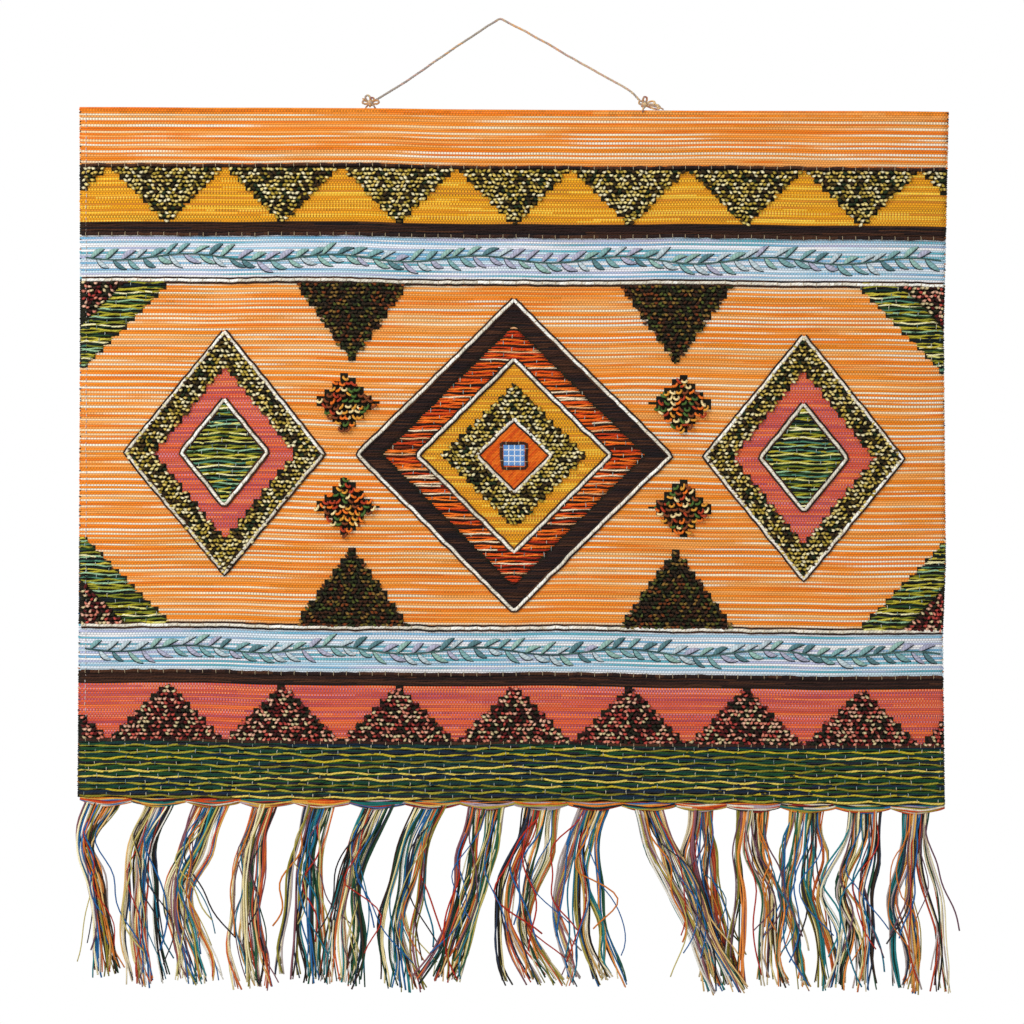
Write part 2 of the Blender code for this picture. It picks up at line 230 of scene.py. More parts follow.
def colour_corners(mesh, name, shades, strength=1.0):
    """Stores a colour for each corner of a mesh, with a strength in its fourth value."""
    layer = mesh.color_attributes.new(name=name, type="FLOAT_COLOR", domain="CORNER")
    values = np.ones((len(shades), 4), np.float32)
    values[:, :3] = shades
    values[:, 3] = strength
    layer.data.foreach_set("color", values.ravel())


def map_corners(mesh, name, places):
    """Stores a place on a map for each corner of a mesh."""
    layer = mesh.uv_layers.new(name=name)
    layer.data.foreach_set("uv", np.asarray(places, np.float32).ravel())


def hang_piece(name, mesh, material):
    """A mesh as a piece of the hanging, in its material and attached to the root body."""
    mesh.materials.append(material)
    piece = bpy.data.objects.new(name, mesh)
    bpy.context.scene.collection.objects.link(piece)
    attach(piece, "root")
    return piece


def wire(tree, kind, sockets, **settings):
    """A shader node with its settings, and its sockets set to values or fed by other nodes."""
    node = tree.nodes.new(kind)
    for setting, value in settings.items():
        setattr(node, setting, value)
    for socket, value in sockets.items():
        if isinstance(value, bpy.types.NodeSocket):
            tree.links.new(value, node.inputs[socket])
        else:
            node.inputs[socket].default_value = value
    return node


def reckon(tree, operation, *values):
    """The outcome of one sum on values or on other nodes' outcomes."""
    return wire(tree, "ShaderNodeMath", dict(enumerate(values)), operation=operation).outputs[0]


def effect_group(name, takes, gives):
    """An empty group of shader nodes, and the nodes that stand for what it takes and gives."""
    group = bpy.data.node_groups.new(name, "ShaderNodeTree")
    for socket, kind in takes:
        group.interface.new_socket(name=socket, in_out="INPUT", socket_type=kind)
    for socket in gives:
        group.interface.new_socket(name=socket, in_out="OUTPUT", socket_type="NodeSocketFloat")
    return group, group.nodes.new("NodeGroupInput"), group.nodes.new("NodeGroupOutput")


def fibre_noise(group, lay, stretch):
    """Fine fibres drawn out along a yarn."""
    place = wire(group, "ShaderNodeVectorMath", {0: lay, 1: stretch}, operation="MULTIPLY")
    sockets = {"Vector": place.outputs[0], "Scale": 1.0, "Detail": 3.0}
    return wire(group, "ShaderNodeTexNoise", sockets).outputs[0]


def make_twist_group():
    """Plies wound round a yarn, with fine fibres: height, and light with painted shade between plies."""
    takes = (("Lay", "NodeSocketVector"), ("Turn", "NodeSocketFloat"), ("Plies", "NodeSocketFloat"))
    group, given, result = effect_group("yarn_twist", takes, ("Height", "Light"))
    lay = wire(group, "ShaderNodeSeparateXYZ", {0: given.outputs["Lay"]})
    turns = reckon(group, "DIVIDE", lay.outputs["X"], given.outputs["Turn"])
    turns = reckon(group, "ADD", turns, lay.outputs["Y"])
    phase = reckon(group, "MULTIPLY", turns, given.outputs["Plies"])
    ply = reckon(group, "ABSOLUTE", reckon(group, "COSINE", reckon(group, "MULTIPLY", phase, math.pi)))
    fibres = fibre_noise(group, given.outputs["Lay"], FIBRE_STRETCH)
    sockets = {"Vector": given.outputs["Lay"], "Scale": SLUB_SCALE, "Detail": 1.0}
    slubs = wire(group, "ShaderNodeTexNoise", sockets).outputs[0]
    # Painted shade and light: darker in the furrows between plies, lighter on their crests.
    light = reckon(group, "MULTIPLY_ADD", ply, PLY_CREST_PAINTED_LIGHT, PLY_FURROW_PAINTED_SHADE)
    light = reckon(group, "MULTIPLY_ADD", fibres, FIBRE_LIGHT, light)
    light = reckon(group, "MULTIPLY_ADD", slubs, SLUB_LIGHT, light)
    height = reckon(group, "MULTIPLY_ADD", fibres, FIBRE_HEIGHT, ply)
    group.links.new(height, result.inputs["Height"])
    group.links.new(light, result.inputs["Light"])
    return group


def fibre_material(name, roughness, sheen_roughness):
    """A material for dull fibres, its nodes, and the map of how the yarns lie."""
    material = bpy.data.materials.new(name)
    material.use_nodes = True
    shader = material.node_tree.nodes["Principled BSDF"]
    shader.inputs["Roughness"].default_value = roughness
    shader.inputs["Specular IOR Level"].default_value = YARN_SPECULAR
    shader.inputs["Sheen Weight"].default_value = YARN_SHEEN
    shader.inputs["Sheen Roughness"].default_value = sheen_roughness
    lay = wire(material.node_tree, "ShaderNodeUVMap", {}, uv_map="lay").outputs[0]
    return material, material.node_tree, lay


def work_in(tree, effect, colour, bump, relief):
    """Gives the shader a colour that an effect lights, and a bump as high as the effect says."""
    shader = tree.nodes["Principled BSDF"]
    # The effect's light holds painted light and shade, multiplied into the colour.
    lit = wire(tree, "ShaderNodeVectorMath", {0: colour, "Scale": effect.outputs["Light"]},
               operation="SCALE")
    raised = wire(tree, "ShaderNodeBump", {"Strength": bump, "Distance": relief,
                                           "Height": effect.outputs["Height"]})
    tree.links.new(lit.outputs[0], shader.inputs["Base Color"])
    tree.links.new(raised.outputs[0], shader.inputs["Normal"])


def yarn_material(name, turn, plies, relief):
    """Spun yarn of a twist, in millimetres a turn, dyed as its pieces' shades say."""
    material, tree, lay = fibre_material(name, YARN_ROUGHNESS, YARN_SHEEN_ROUGHNESS)
    twist = wire(tree, "ShaderNodeGroup", {}, node_tree=twist_group)
    tree.links.new(lay, twist.inputs["Lay"])
    twist.inputs["Turn"].default_value = turn
    twist.inputs["Plies"].default_value = plies
    shade = wire(tree, "ShaderNodeAttribute", {}, attribute_name="shade").outputs["Color"]
    work_in(tree, twist, shade, YARN_BUMP, relief)
    return material


twist_group = make_twist_group()
string_yarn = yarn_material("string_yarn", turn=2.6, plies=2, relief=0.0003)
rng = np.random.default_rng(3)
string_course = [(x * MM, 0.0, z * MM + STRING_DIAMETER / 2) for x, z in STRING_UNDERSIDE_MM]
string_course = np.array([STRING_LEFT_END] + string_course + [STRING_RIGHT_END])
string_steps = round(length_along(string_course)[-1] / STRING_STEP)
string_course = smooth_through(string_course, string_steps)
kinks = smooth_through(rng.normal(0, STRING_KINK, (STRING_KINKS, 3)), string_steps)
string_course = string_course + kinks * np.sin(np.linspace(0, np.pi, string_steps))[:, None]
string_heap = YarnHeap()
for ply in range(PLIES):
    course = twisted(string_course, STRING_TURN, PLY_OFFSET, ply / PLIES)
    shades = drifting(STRING_COLOURS, (1, len(course) - 1), COLOUR_CHANGE, rng)
    radius = PLY_RADIUS * rng.uniform(*PLY_UNEVEN, len(course))
    string_heap.add_yarns(course, radius, shades)
string = string_heap.as_piece("twisted_string", string_yarn)
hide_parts("hanging_string")


# Each end of the string is wound and hitched at the edge of the panel. What is left of it stands
# up in small slack loops, on the right lying along the edge, and its cut ends fray.
WRAP_STEPS = 60
WRAP_THICKER = 1.4
BOW_STEPS = 30
BOW_SHARES = (0.02, 0.98)
BOW_OFF_MM = 0.6
BOW_OUT_MM = 1.4
TAIL_STEPS = 12
TAIL_OUT_MM = 2.4
TAIL_BEND_MM = (0.0, -1.0, 0.9)
TAIL_BENDS = ((0.1, 0.0), (0.5, 1.0), (0.85, 0.7), (1.0, 0.0))
TAIL_TAPER = (1.0, 0.7)
KNOT_PLY_RADIUS = 0.00066
KNOT_PLY_OFFSET = 0.0005
KNOT_COLOURS = ((0.86, 0.66, 0.42), (0.92, 0.78, 0.56), (0.74, 0.60, 0.50), (0.68, 0.63, 0.58),
                (0.80, 0.56, 0.36), (0.62, 0.40, 0.38))
Wrap = namedtuple("Wrap", "across out climb turns tilt")
Bow = namedtuple("Bow", "angle long wide")
Knot = namedtuple("Knot", "name node x z bows tails")
WRAPS = (Wrap(3.0, 2.8, 2.4, 2.6, 0.3), Wrap(3.4, 3.0, 1.6, 2.2, 1.4), Wrap(2.5, 3.2, 2.8, 2.1, 2.4))
KNOTS = (
    Knot("string_knot_left", "knot_left", -0.1345, -0.08624,
         (Bow(116, 8.5, 4.6), Bow(62, 6.0, 3.8), Bow(172, 8.0, 3.4), Bow(8, 9.0, 3.6)),
         ((-5.0, -6.4), (5.5, -6.0), (-8.0, 4.0))),
    Knot("string_knot_right", "knot_right", 0.1495, -0.08788,
         (Bow(-11, 16.5, 4.6), Bow(10, 11.0, 4.2), Bow(82, 8.0, 4.0), Bow(150, 6.0, 3.4)),
         ((20.0, -5.2), (12.5, -2.5), (-2.0, -8.0))),
)


def add_twisted(heap, course, taper, rng):
    """Fine plies twisted together along a course."""
    for ply in range(PLIES):
        shades = drifting(KNOT_COLOURS, (1, len(course) - 1), COLOUR_CHANGE, rng)
        ply_course = twisted(course, STRING_TURN, KNOT_PLY_OFFSET, ply / PLIES)
        heap.add_yarns(ply_course, KNOT_PLY_RADIUS * taper, shades)


for knot in KNOTS:
    knot_heap = YarnHeap()
    middle = np.array((knot.x, 0.0, knot.z))
    turn = np.linspace(0, 1, WRAP_STEPS)
    for wrap in WRAPS:
        angle = 2 * np.pi * wrap.turns * turn
        coil = np.stack([wrap.across * np.cos(angle), -wrap.out * np.sin(angle),
                         (turn - 0.5) * wrap.climb], axis=1)
        lift = np.array((math.sin(-wrap.tilt), 0.0, math.cos(wrap.tilt)))
        aside = np.array((math.cos(wrap.tilt), 0.0, math.sin(wrap.tilt)))
        course = middle + (coil[:, :1] * aside + coil[:, 2:] * lift + coil[:, 1:2] * (0, 1, 0)) * MM
        shades = drifting(KNOT_COLOURS, (1, WRAP_STEPS - 1), COLOUR_CHANGE, rng)
        knot_heap.add_yarns(course, KNOT_PLY_RADIUS * WRAP_THICKER, shades, across=lift)
    for bow in knot.bows:
        turn = np.linspace(*BOW_SHARES, BOW_STEPS)
        way = math.radians(bow.angle)
        along = bow.long * np.sin(np.pi * turn)
        aside = bow.wide / 2 * np.sin(2 * np.pi * turn)
        course = middle + np.stack([
            along * math.cos(way) - aside * math.sin(way),
            -BOW_OUT_MM * np.sin(np.pi * turn) - BOW_OFF_MM,
            along * math.sin(way) + aside * math.cos(way),
        ], axis=1) * MM
        add_twisted(knot_heap, course, 1.0, rng)
    for x, z in knot.tails:
        end = np.array((x, -TAIL_OUT_MM, z))
        places = [end * share + np.array(TAIL_BEND_MM) * bent for share, bent in TAIL_BENDS]
        course = middle + smooth_through(places, TAIL_STEPS) * MM
        add_twisted(knot_heap, course, np.linspace(*TAIL_TAPER, TAIL_STEPS), rng)
    knot_piece = knot_heap.as_piece(knot.name, string_yarn)
    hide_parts(knot.node)


# The panel is weft-faced cloth: every row of jute and wool yarn is beaten down over a thin warp
# until the warp is hidden. Its pattern is stripes, stepped diamonds and teeth, counted out in
# steps of the warp, and its grounds change colour from row to row.
HALF_WIDTH_MM = 450.0
HEIGHT_MM = 717.0
PANEL_HEIGHT = HEIGHT_MM * MM
PANEL_THICKNESS = 0.003
PANEL_CENTRE_X = 0.0145
PANEL_TOP_Z = -0.0928
TOP_EDGE_SLOPE = -0.0058
BOTTOM_EDGE_SLOPE = -0.0092
COLUMNS = 75
ROWS = 60
ROW_MM = HEIGHT_MM / ROWS
COLUMN_MM = 2 * HALF_WIDTH_MM / COLUMNS
FIELD_ROWS = 15
TEETH_PERIOD = 10
UPPER_TEETH_ROW = 5
LOWER_TEETH_ROW = 50
TEETH_ROWS = 5
WAVES_MM = ((620.0, 2.2, 0.6), (270.0, 1.0, 2.1), (130.0, 0.4, 4.0))
EDGE_STRAYS_MM = ((0.00, 0.0, 0.0), (0.32, 0.5, -5.2), (0.65, -0.5, -3.1), (0.76, -1.0, -6.2),
                  (1.00, -2.0, -4.1))
Ring = namedtuple("Ring", "outer inner zone")
Diamond = namedtuple("Diamond", "column row half_width half_height rings")
DIAMONDS = (
    Diamond(0.0, 0.0, 13.5, 13.5, (
        Ring(1.00, 0.84, "bark satin"),
        Ring(0.84, 0.62, "rust floats"),
        Ring(0.62, 0.46, "mustard"),
        Ring(0.46, 0.24, "moss tufts"),
        Ring(0.24, 0.00, "felt"),
    )),
    Diamond(25.0, 0.0, 8.5, 10.5, (
        Ring(1.00, 0.72, "moss tufts"),
        Ring(0.72, 0.44, "mauve"),
        Ring(0.44, 0.00, "leaf floats"),
    )),
    Diamond(37.5, 15.0, 8.0, 8.0, (
        Ring(1.00, 0.50, "leaf floats"),
        Ring(0.50, 0.00, "berry tufts"),
    )),
    Diamond(14.0, 15.0, 5.0, 7.0, (Ring(1.00, 0.00, "rust tufts"),)),
    Diamond(14.5, 4.5, 2.6, 2.6, (Ring(1.00, 0.00, "loops"),)),
)
BANDS = ((0, "warm"), (5, "mustard"), (10, "bark satin"), (11, "cool"), (15, "warm"), (45, "cool"),
         (49, "bark satin"), (50, "mauve"), (55, "night floats"))


def panel_wave_mm(x_mm):
    """How far the panel stands off the wall, where it hangs in shallow waves."""
    return sum(height * np.sin(2 * np.pi * x_mm / length + phase) for length, height, phase in WAVES_MM)


def panel_point(across, down, proud):
    """The place in metres of a point across and down the panel, and proud of its face, in mm."""
    across, down, proud = np.broadcast_arrays(across, down, proud)
    share = down / HEIGHT_MM
    depths, left, right = np.array(EDGE_STRAYS_MM).T
    stray = np.where(across > 0, np.interp(share, depths, right), np.interp(share, depths, left))
    near_edge = np.clip(1 - (HALF_WIDTH_MM - np.abs(across)) / COLUMN_MM, 0, 1)
    middle = PANEL_CENTRE_X / MM
    x = middle + across + stray * near_edge
    slope = TOP_EDGE_SLOPE * (1 - share) + BOTTOM_EDGE_SLOPE * share
    z = PANEL_TOP_Z / MM - down + slope * (x - middle)
    y = panel_wave_mm(x) - PANEL_THICKNESS / MM / 2 - proud
    return np.stack([x, y, z], axis=-1) * MM


def diamond_reach(diamond, across, down):
    """How far out of a diamond's middle a point lies, where 1 is its outline."""
    column = np.abs(across) / COLUMN_MM
    row = np.abs(down / ROW_MM - ROWS / 2)
    return (np.abs(column - diamond.column) / diamond.half_width
            + np.abs(row - diamond.row) / diamond.half_height)


def zone_at(across, down):
    """The weave or raised work at each place on the panel."""
    across, down = np.broadcast_arrays(across, down)
    rows = down / ROW_MM
    zones = np.full(across.shape, "warm", dtype="U12")
    for row, zone in BANDS:
        zones[rows >= row] = zone
    in_field = np.abs(rows - ROWS / 2) <= FIELD_ROWS
    for diamond in reversed(DIAMONDS):
        reach = diamond_reach(diamond, across, down)
        for ring in diamond.rings:
            zones[in_field & (ring.inner <= reach) & (reach < ring.outer)] = ring.zone
    from_tooth = np.abs((np.abs(across) / COLUMN_MM + TEETH_PERIOD / 2) % TEETH_PERIOD
                        - TEETH_PERIOD / 2)
    hang = rows - UPPER_TEETH_ROW
    zones[(hang >= 0) & (hang < TEETH_ROWS - from_tooth)] = "moss tufts"
    stand = LOWER_TEETH_ROW + TEETH_ROWS - rows
    zones[(stand >= 0) & (stand < TEETH_ROWS - from_tooth)] = "berry tufts"
    return zones


# The face of the panel. Each row of weft is a ridge between two furrows, bent over and under the
# warp. It drifts a little out of level, as rows do that are beaten down by hand.
WEFT_ROW_MM = 2.2
WEFT_ROWS = round(HEIGHT_MM / WEFT_ROW_MM)
FACE_COLUMNS = 110
WARP_MM = 1.55
RIDGE_MM = 0.5
RIDGE_UNEVEN = (0.75, 1.2)
FURROW_MM = -0.15
UNEVEN_BEAT = 0.14
SIDE_BULGE_MM = 0.7
SIDE_TURN_MM = 2.0
RIM_MM = -2.7
ROW_DRIFTS = ((410.0, 0.7, 0.9), (190.0, 0.4, 3.2), (83.0, 0.15, 1.1))
DRIFT_SLANT = 2
DRIFT_FADE_MM = 3 * ROW_MM
RUN_OUT = 0.12
BLENDS = 3
MOST_ROWS = (2, 1)
SHOWS = (0.4, 1.3)
HEADING_ROWS = 3
HEADING_CHANGE = 0.05
WEAVE_FIBRE_STRETCH = (1.1, 7.0, 1.0)
WEAVE_FIBRE_HEIGHT = 0.45
WEAVE_FIBRE_LIGHT = 0.45
WEAVE_LIGHT = 0.78
WEAVE_BUMP = 0.9
WEAVE_ROUGHNESS = 0.93
WEAVE_SHEEN_ROUGHNESS = 0.6
RIDGE_HEIGHT = 0.7
DOT_EDGES = (0.52, 0.30)
# Painted shade on the woven face: darker in the furrows between rows and where the weft dips under the
# warp.
FURROW_SIDE = 0.62
ROW_FURROW_PAINTED_SHADE = 0.42
OVER_WARP_PAINTED_LIGHT = 0.16
UNDER_WARP_PAINTED_SHADE = 0.88
Ground = namedtuple("Ground", "wefts others show")
GROUNDS = {
    "warm": Ground(
        (((0.99, 0.53, 0.13), (1.00, 0.58, 0.18), (0.97, 0.49, 0.12), (0.99, 0.66, 0.33),
          (0.98, 0.56, 0.14)),
         ((1.00, 0.93, 0.80), (0.99, 0.83, 0.62), (1.00, 0.69, 0.38), (1.00, 0.95, 0.86),
          (1.00, 0.88, 0.72))),
        ((0.62, 0.42, 0.16), (0.86, 0.48, 0.12), (0.96, 0.62, 0.34)), 0.40),
    "mustard": Ground(
        (((0.98, 0.69, 0.12), (0.97, 0.65, 0.14), (1.00, 0.76, 0.22)),
         ((0.92, 0.60, 0.14), (0.94, 0.64, 0.15), (0.88, 0.55, 0.18))),
        ((0.80, 0.52, 0.13), (0.68, 0.48, 0.16), (0.86, 0.56, 0.12), (1.00, 0.86, 0.34)), 0.95),
    "mauve": Ground(
        (((0.94, 0.39, 0.15), (0.88, 0.33, 0.16), (0.96, 0.45, 0.17)),
         ((0.80, 0.33, 0.24), (0.71, 0.27, 0.27), (0.84, 0.33, 0.19))),
        ((0.88, 0.56, 0.60), (0.74, 0.40, 0.48), (0.96, 0.60, 0.46), (0.84, 0.46, 0.48)), 0.95),
    "cool": Ground(
        (((0.96, 0.96, 0.99), (0.90, 0.94, 0.97), (0.99, 0.98, 0.97), (0.82, 0.91, 0.95)),
         ((0.48, 0.72, 0.86), (0.64, 0.81, 0.90), (0.38, 0.70, 0.76), (0.74, 0.76, 0.88))),
        ((0.45, 0.62, 0.74), (0.86, 0.88, 0.94), (0.60, 0.56, 0.66)), 0.35),
    "dark": Ground(
        (((0.13, 0.10, 0.06), (0.10, 0.12, 0.07)), ((0.17, 0.12, 0.07), (0.11, 0.10, 0.08))),
        ((0.22, 0.19, 0.10), (0.08, 0.07, 0.06)), 0.5),
}


def row_drift_mm(across, down):
    """How far the rows have drifted out of level, which dies away at the upper and lower edges."""
    fade = np.clip(np.minimum(down, HEIGHT_MM - down) / DRIFT_FADE_MM, 0, 1)
    drift = 0.0
    for length, height, phase in ROW_DRIFTS:
        angle = 2 * np.pi * across / length + phase + down / length * DRIFT_SLANT
        drift = drift + height * np.sin(angle)
    return drift * fade


def cloth_mesh(name, points, wefts, others, show, lay):
    """A grid of points, in rows down and columns to the right, as cloth that faces the viewer."""
    rows, columns = points.shape[:2]
    index = np.arange(rows * columns).reshape(rows, columns)
    corners = np.stack([index[:-1, :-1], index[1:, :-1], index[1:, 1:], index[:-1, 1:]], axis=-1)
    corners = corners.ravel()
    mesh = mesh_of(name, points.reshape(-1, 3), corners, np.full(len(corners) // 4, 4))
    colour_corners(mesh, "shade", np.repeat(wefts.reshape(-1, 3), 4, axis=0))
    colour_corners(mesh, "other", np.repeat(others.reshape(-1, 3), 4, axis=0),
                   np.repeat(show.ravel(), 4))
    map_corners(mesh, "lay", lay.reshape(-1, 2)[corners])
    return mesh


def blended(shades):
    """Colours along each row, each passing softly into the next, as in dip-dyed yarn."""
    for _ in range(BLENDS):
        beside = np.concatenate([shades[:, :1], shades, shades[:, -1:]], axis=1)
        shades = beside[:, :-2] / 4 + shades / 2 + beside[:, 2:] / 4
    return shades


def row_ranges(rows, rng):
    """Which of a ground's two ranges of yarn each row takes: a few rows of each in turn."""
    ranges = []
    while len(ranges) < rows:
        for side, longest in enumerate(MOST_ROWS):
            ranges += [side] * rng.integers(1, longest + 1)
    return np.array(ranges[:rows])


def ground_shades(zones, grounds, rng):
    """Weft colours, colours that show between them, and how much they show, at each place.

    Rows of a ground take its two ranges of yarn in turn, and a yarn runs out now and then."""
    rows, columns = zones.shape
    wefts = np.zeros((rows, columns, 3))
    others = np.zeros((rows, columns, 3))
    show = np.zeros((rows, columns))
    for zone in np.unique(zones):
        ground = grounds.get(zone, grounds["dark"])
        here = zones == zone
        ranges = [blended(drifting(ground.wefts[side], (rows, columns), RUN_OUT, rng)) for side in (0, 1)]
        mixed = np.where(row_ranges(rows, rng)[:, None, None] == 1, ranges[1], ranges[0])
        wefts[here] = mixed[here]
        others[here] = drifting(ground.others, (rows, columns), RUN_OUT, rng)[here]
        show[here] = np.broadcast_to(ground.show * rng.uniform(*SHOWS, (rows, 1)), show.shape)[here]
    return wefts, others, show


def make_weave_group():
    """Weft passing over and under the warp: the height, the dots of the other yarn, the light and painted
    shade.
    """
    takes = (("Lay", "NodeSocketVector"), ("Show", "NodeSocketFloat"))
    group, given, result = effect_group("weft_over_warp", takes, ("Height", "Dots", "Light"))
    lay = wire(group, "ShaderNodeSeparateXYZ", {0: given.outputs["Lay"]})
    row = reckon(group, "FLOOR", lay.outputs["Y"])
    beat = reckon(group, "MULTIPLY", reckon(group, "ADD", lay.outputs["X"], row), math.pi)
    over = reckon(group, "MULTIPLY_ADD", reckon(group, "COSINE", beat), 0.5, 0.5)
    within = reckon(group, "SUBTRACT", lay.outputs["Y"], row)
    ridge = reckon(group, "SINE", reckon(group, "MULTIPLY", within, math.pi))
    dots = wire(group, "ShaderNodeMapRange", {0: over, 1: DOT_EDGES[0], 2: DOT_EDGES[1]},
                interpolation_type="SMOOTHSTEP").outputs[0]
    dots = reckon(group, "MULTIPLY", dots, given.outputs["Show"])
    fibres = fibre_noise(group, given.outputs["Lay"], WEAVE_FIBRE_STRETCH)
    rise = reckon(group, "MULTIPLY_ADD", ridge, RIDGE_HEIGHT, 1.0 - RIDGE_HEIGHT)
    height = reckon(group, "MULTIPLY", over, rise)
    height = reckon(group, "MULTIPLY_ADD", fibres, WEAVE_FIBRE_HEIGHT, height)
    # Painted shade: the furrows between rows are darker, and the weft is darker where it dips under the
    # warp.
    painted_furrow_shade = wire(group, "ShaderNodeMapRange", {0: ridge, 1: 0.0, 2: FURROW_SIDE, 3: ROW_FURROW_PAINTED_SHADE, 4: 1.0},
                  interpolation_type="SMOOTHSTEP").outputs[0]
    light = reckon(group, "MULTIPLY_ADD", fibres, WEAVE_FIBRE_LIGHT, WEAVE_LIGHT)
    light = reckon(group, "MULTIPLY", light, painted_furrow_shade)
    light = reckon(group, "MULTIPLY", light, reckon(group, "MULTIPLY_ADD", over, OVER_WARP_PAINTED_LIGHT, UNDER_WARP_PAINTED_SHADE))
    for name, value in (("Height", height), ("Dots", dots), ("Light", light)):
        group.links.new(value, result.inputs[name])
    return group


def woven_material(name, relief):
    """Woven yarn whose two colours and their share are stored on the cloth."""
    material, tree, lay = fibre_material(name, WEAVE_ROUGHNESS, WEAVE_SHEEN_ROUGHNESS)
    weft = wire(tree, "ShaderNodeAttribute", {}, attribute_name="shade").outputs["Color"]
    other = wire(tree, "ShaderNodeAttribute", {}, attribute_name="other")
    weave = wire(tree, "ShaderNodeGroup", {}, node_tree=weave_group)
    tree.links.new(lay, weave.inputs["Lay"])
    tree.links.new(other.outputs["Alpha"], weave.inputs["Show"])
    mixed = wire(tree, "ShaderNodeMix", {0: weave.outputs["Dots"], 6: weft, 7: other.outputs["Color"]},
                 data_type="RGBA").outputs[2]
    work_in(tree, weave, mixed, WEAVE_BUMP, relief)
    return material


weave_group = make_weave_group()
woven_yarn = woven_material("woven_yarn", relief=0.0005)
rng = np.random.default_rng(11)
furrows = np.arange(WEFT_ROWS + 1) * HEIGHT_MM / WEFT_ROWS
furrows[1:-1] += rng.uniform(-1, 1, WEFT_ROWS - 1) * UNEVEN_BEAT * WEFT_ROW_MM
level_down = np.sort(np.concatenate([furrows, (furrows[:-1] + furrows[1:]) / 2]))
is_ridge = np.arange(len(level_down)) % 2 == 1
ridge_height = RIDGE_MM * rng.uniform(*RIDGE_UNEVEN, len(level_down))
level_proud = np.where(is_ridge, ridge_height, FURROW_MM)
across = np.linspace(-HALF_WIDTH_MM, HALF_WIDTH_MM, FACE_COLUMNS + 1)
bulge = np.zeros((len(level_down), FACE_COLUMNS + 1))
bulge[is_ridge, 0] = -SIDE_BULGE_MM
bulge[is_ridge, -1] = SIDE_BULGE_MM
down = level_down[:, None] + row_drift_mm(across[None], level_down[:, None])
face_points = panel_point(across[None] + bulge, down, level_proud[:, None])
cell_across = (across[:-1] + across[1:]) / 2
cell_down = (furrows[:-1] + furrows[1:]) / 2
zones = zone_at(cell_across[None], cell_down[:, None])
wefts, others, show = ground_shades(zones, GROUNDS, rng)
heading = drifting(GROUNDS["warm"].wefts[0], (HEADING_ROWS, FACE_COLUMNS), HEADING_CHANGE, rng)
wefts[:HEADING_ROWS] = heading
rim = panel_point(across, np.array((0.0, HEIGHT_MM))[:, None], RIM_MM)
points = np.concatenate([rim[:1], face_points, rim[1:]])
sides = points[:, [0, -1]].copy()
sides[..., 1] = panel_wave_mm(sides[..., 0] / MM) * MM - (PANEL_THICKNESS / 2 + RIM_MM * MM)
points = np.concatenate([sides[:, :1], points, sides[:, 1:]], axis=1)
strip_row = np.concatenate([[0], np.repeat(np.arange(WEFT_ROWS), 2), [WEFT_ROWS - 1]])
strip_column = np.concatenate([[0], np.arange(FACE_COLUMNS), [FACE_COLUMNS - 1]])
strips = [cells[strip_row][:, strip_column] for cells in (wefts, others, show)]
lay = np.zeros(points.shape[:2] + (2,))
lay[..., 0] = np.concatenate([[across[0] - SIDE_TURN_MM], across, [across[-1] + SIDE_TURN_MM]]) / WARP_MM
lay[..., 1] = np.concatenate([[0], np.arange(len(level_down)) / 2, [WEFT_ROWS]])[:, None]
face = hang_piece("panel_face", cloth_mesh("panel_face", points, *strips, lay), woven_yarn)
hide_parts("woven_panel")


# The wall side is plainer: the same rows of weft, flatter and hairier, in the yarns of the work on
# the face, with those yarns carried loosely from one motif to the next.
WALL_COLUMNS = 66
WALL_SHOW = 0.6
CARRIED_YARNS = 260
CARRIED_RADIUS_MM = 0.95
CARRIED_STEPS = 10
CARRIED_LEVELS_MM = (90.0, 155.0, 270.0, 360.0, 450.0, 620.0, 690.0)
CARRIED_SPREAD_MM = (-28, 24)
CARRIED_LENGTHS_MM = (30, 130)
CARRIED_START_IN_MM = 12
CARRIED_END_IN_MM = 6
CARRIED_SLANT_MM = 6
CARRIED_SAGS_MM = (0.5, 4.0)
CARRIED_OFF_MM = 0.3
CARRIED_SLACK_MM = 1.2
CARRIED_CHANGE = 0.02
CARRIED_COLOURS = ((0.20, 0.22, 0.12), (0.62, 0.20, 0.12), (0.80, 0.60, 0.22), (0.25, 0.16, 0.11),
                   (0.86, 0.80, 0.60), (0.14, 0.28, 0.24), (0.55, 0.25, 0.30))
MOSSY = ((0.16, 0.20, 0.10), (0.30, 0.32, 0.12), (0.62, 0.60, 0.34))
RUSTY = ((0.72, 0.26, 0.08), (0.50, 0.18, 0.08), (0.84, 0.38, 0.10))
BERRY = ((0.42, 0.12, 0.10), (0.26, 0.10, 0.08), (0.80, 0.52, 0.42))
LEAFY = ((0.52, 0.50, 0.14), (0.16, 0.24, 0.14), (0.74, 0.70, 0.34))
NIGHT = ((0.08, 0.18, 0.16), (0.10, 0.14, 0.18), (0.52, 0.48, 0.14))
BARKY = ((0.20, 0.13, 0.10), (0.28, 0.18, 0.12))
WALL_GROUNDS = dict(GROUNDS)
for zone, tones in (("moss tufts", MOSSY), ("rust tufts", RUSTY), ("berry tufts", BERRY),
                    ("rust floats", RUSTY), ("leaf floats", LEAFY), ("night floats", NIGHT),
                    ("bark satin", BARKY), ("loops", MOSSY), ("felt", RUSTY)):
    WALL_GROUNDS[zone] = Ground((tones, tones[::-1]), tones, WALL_SHOW)

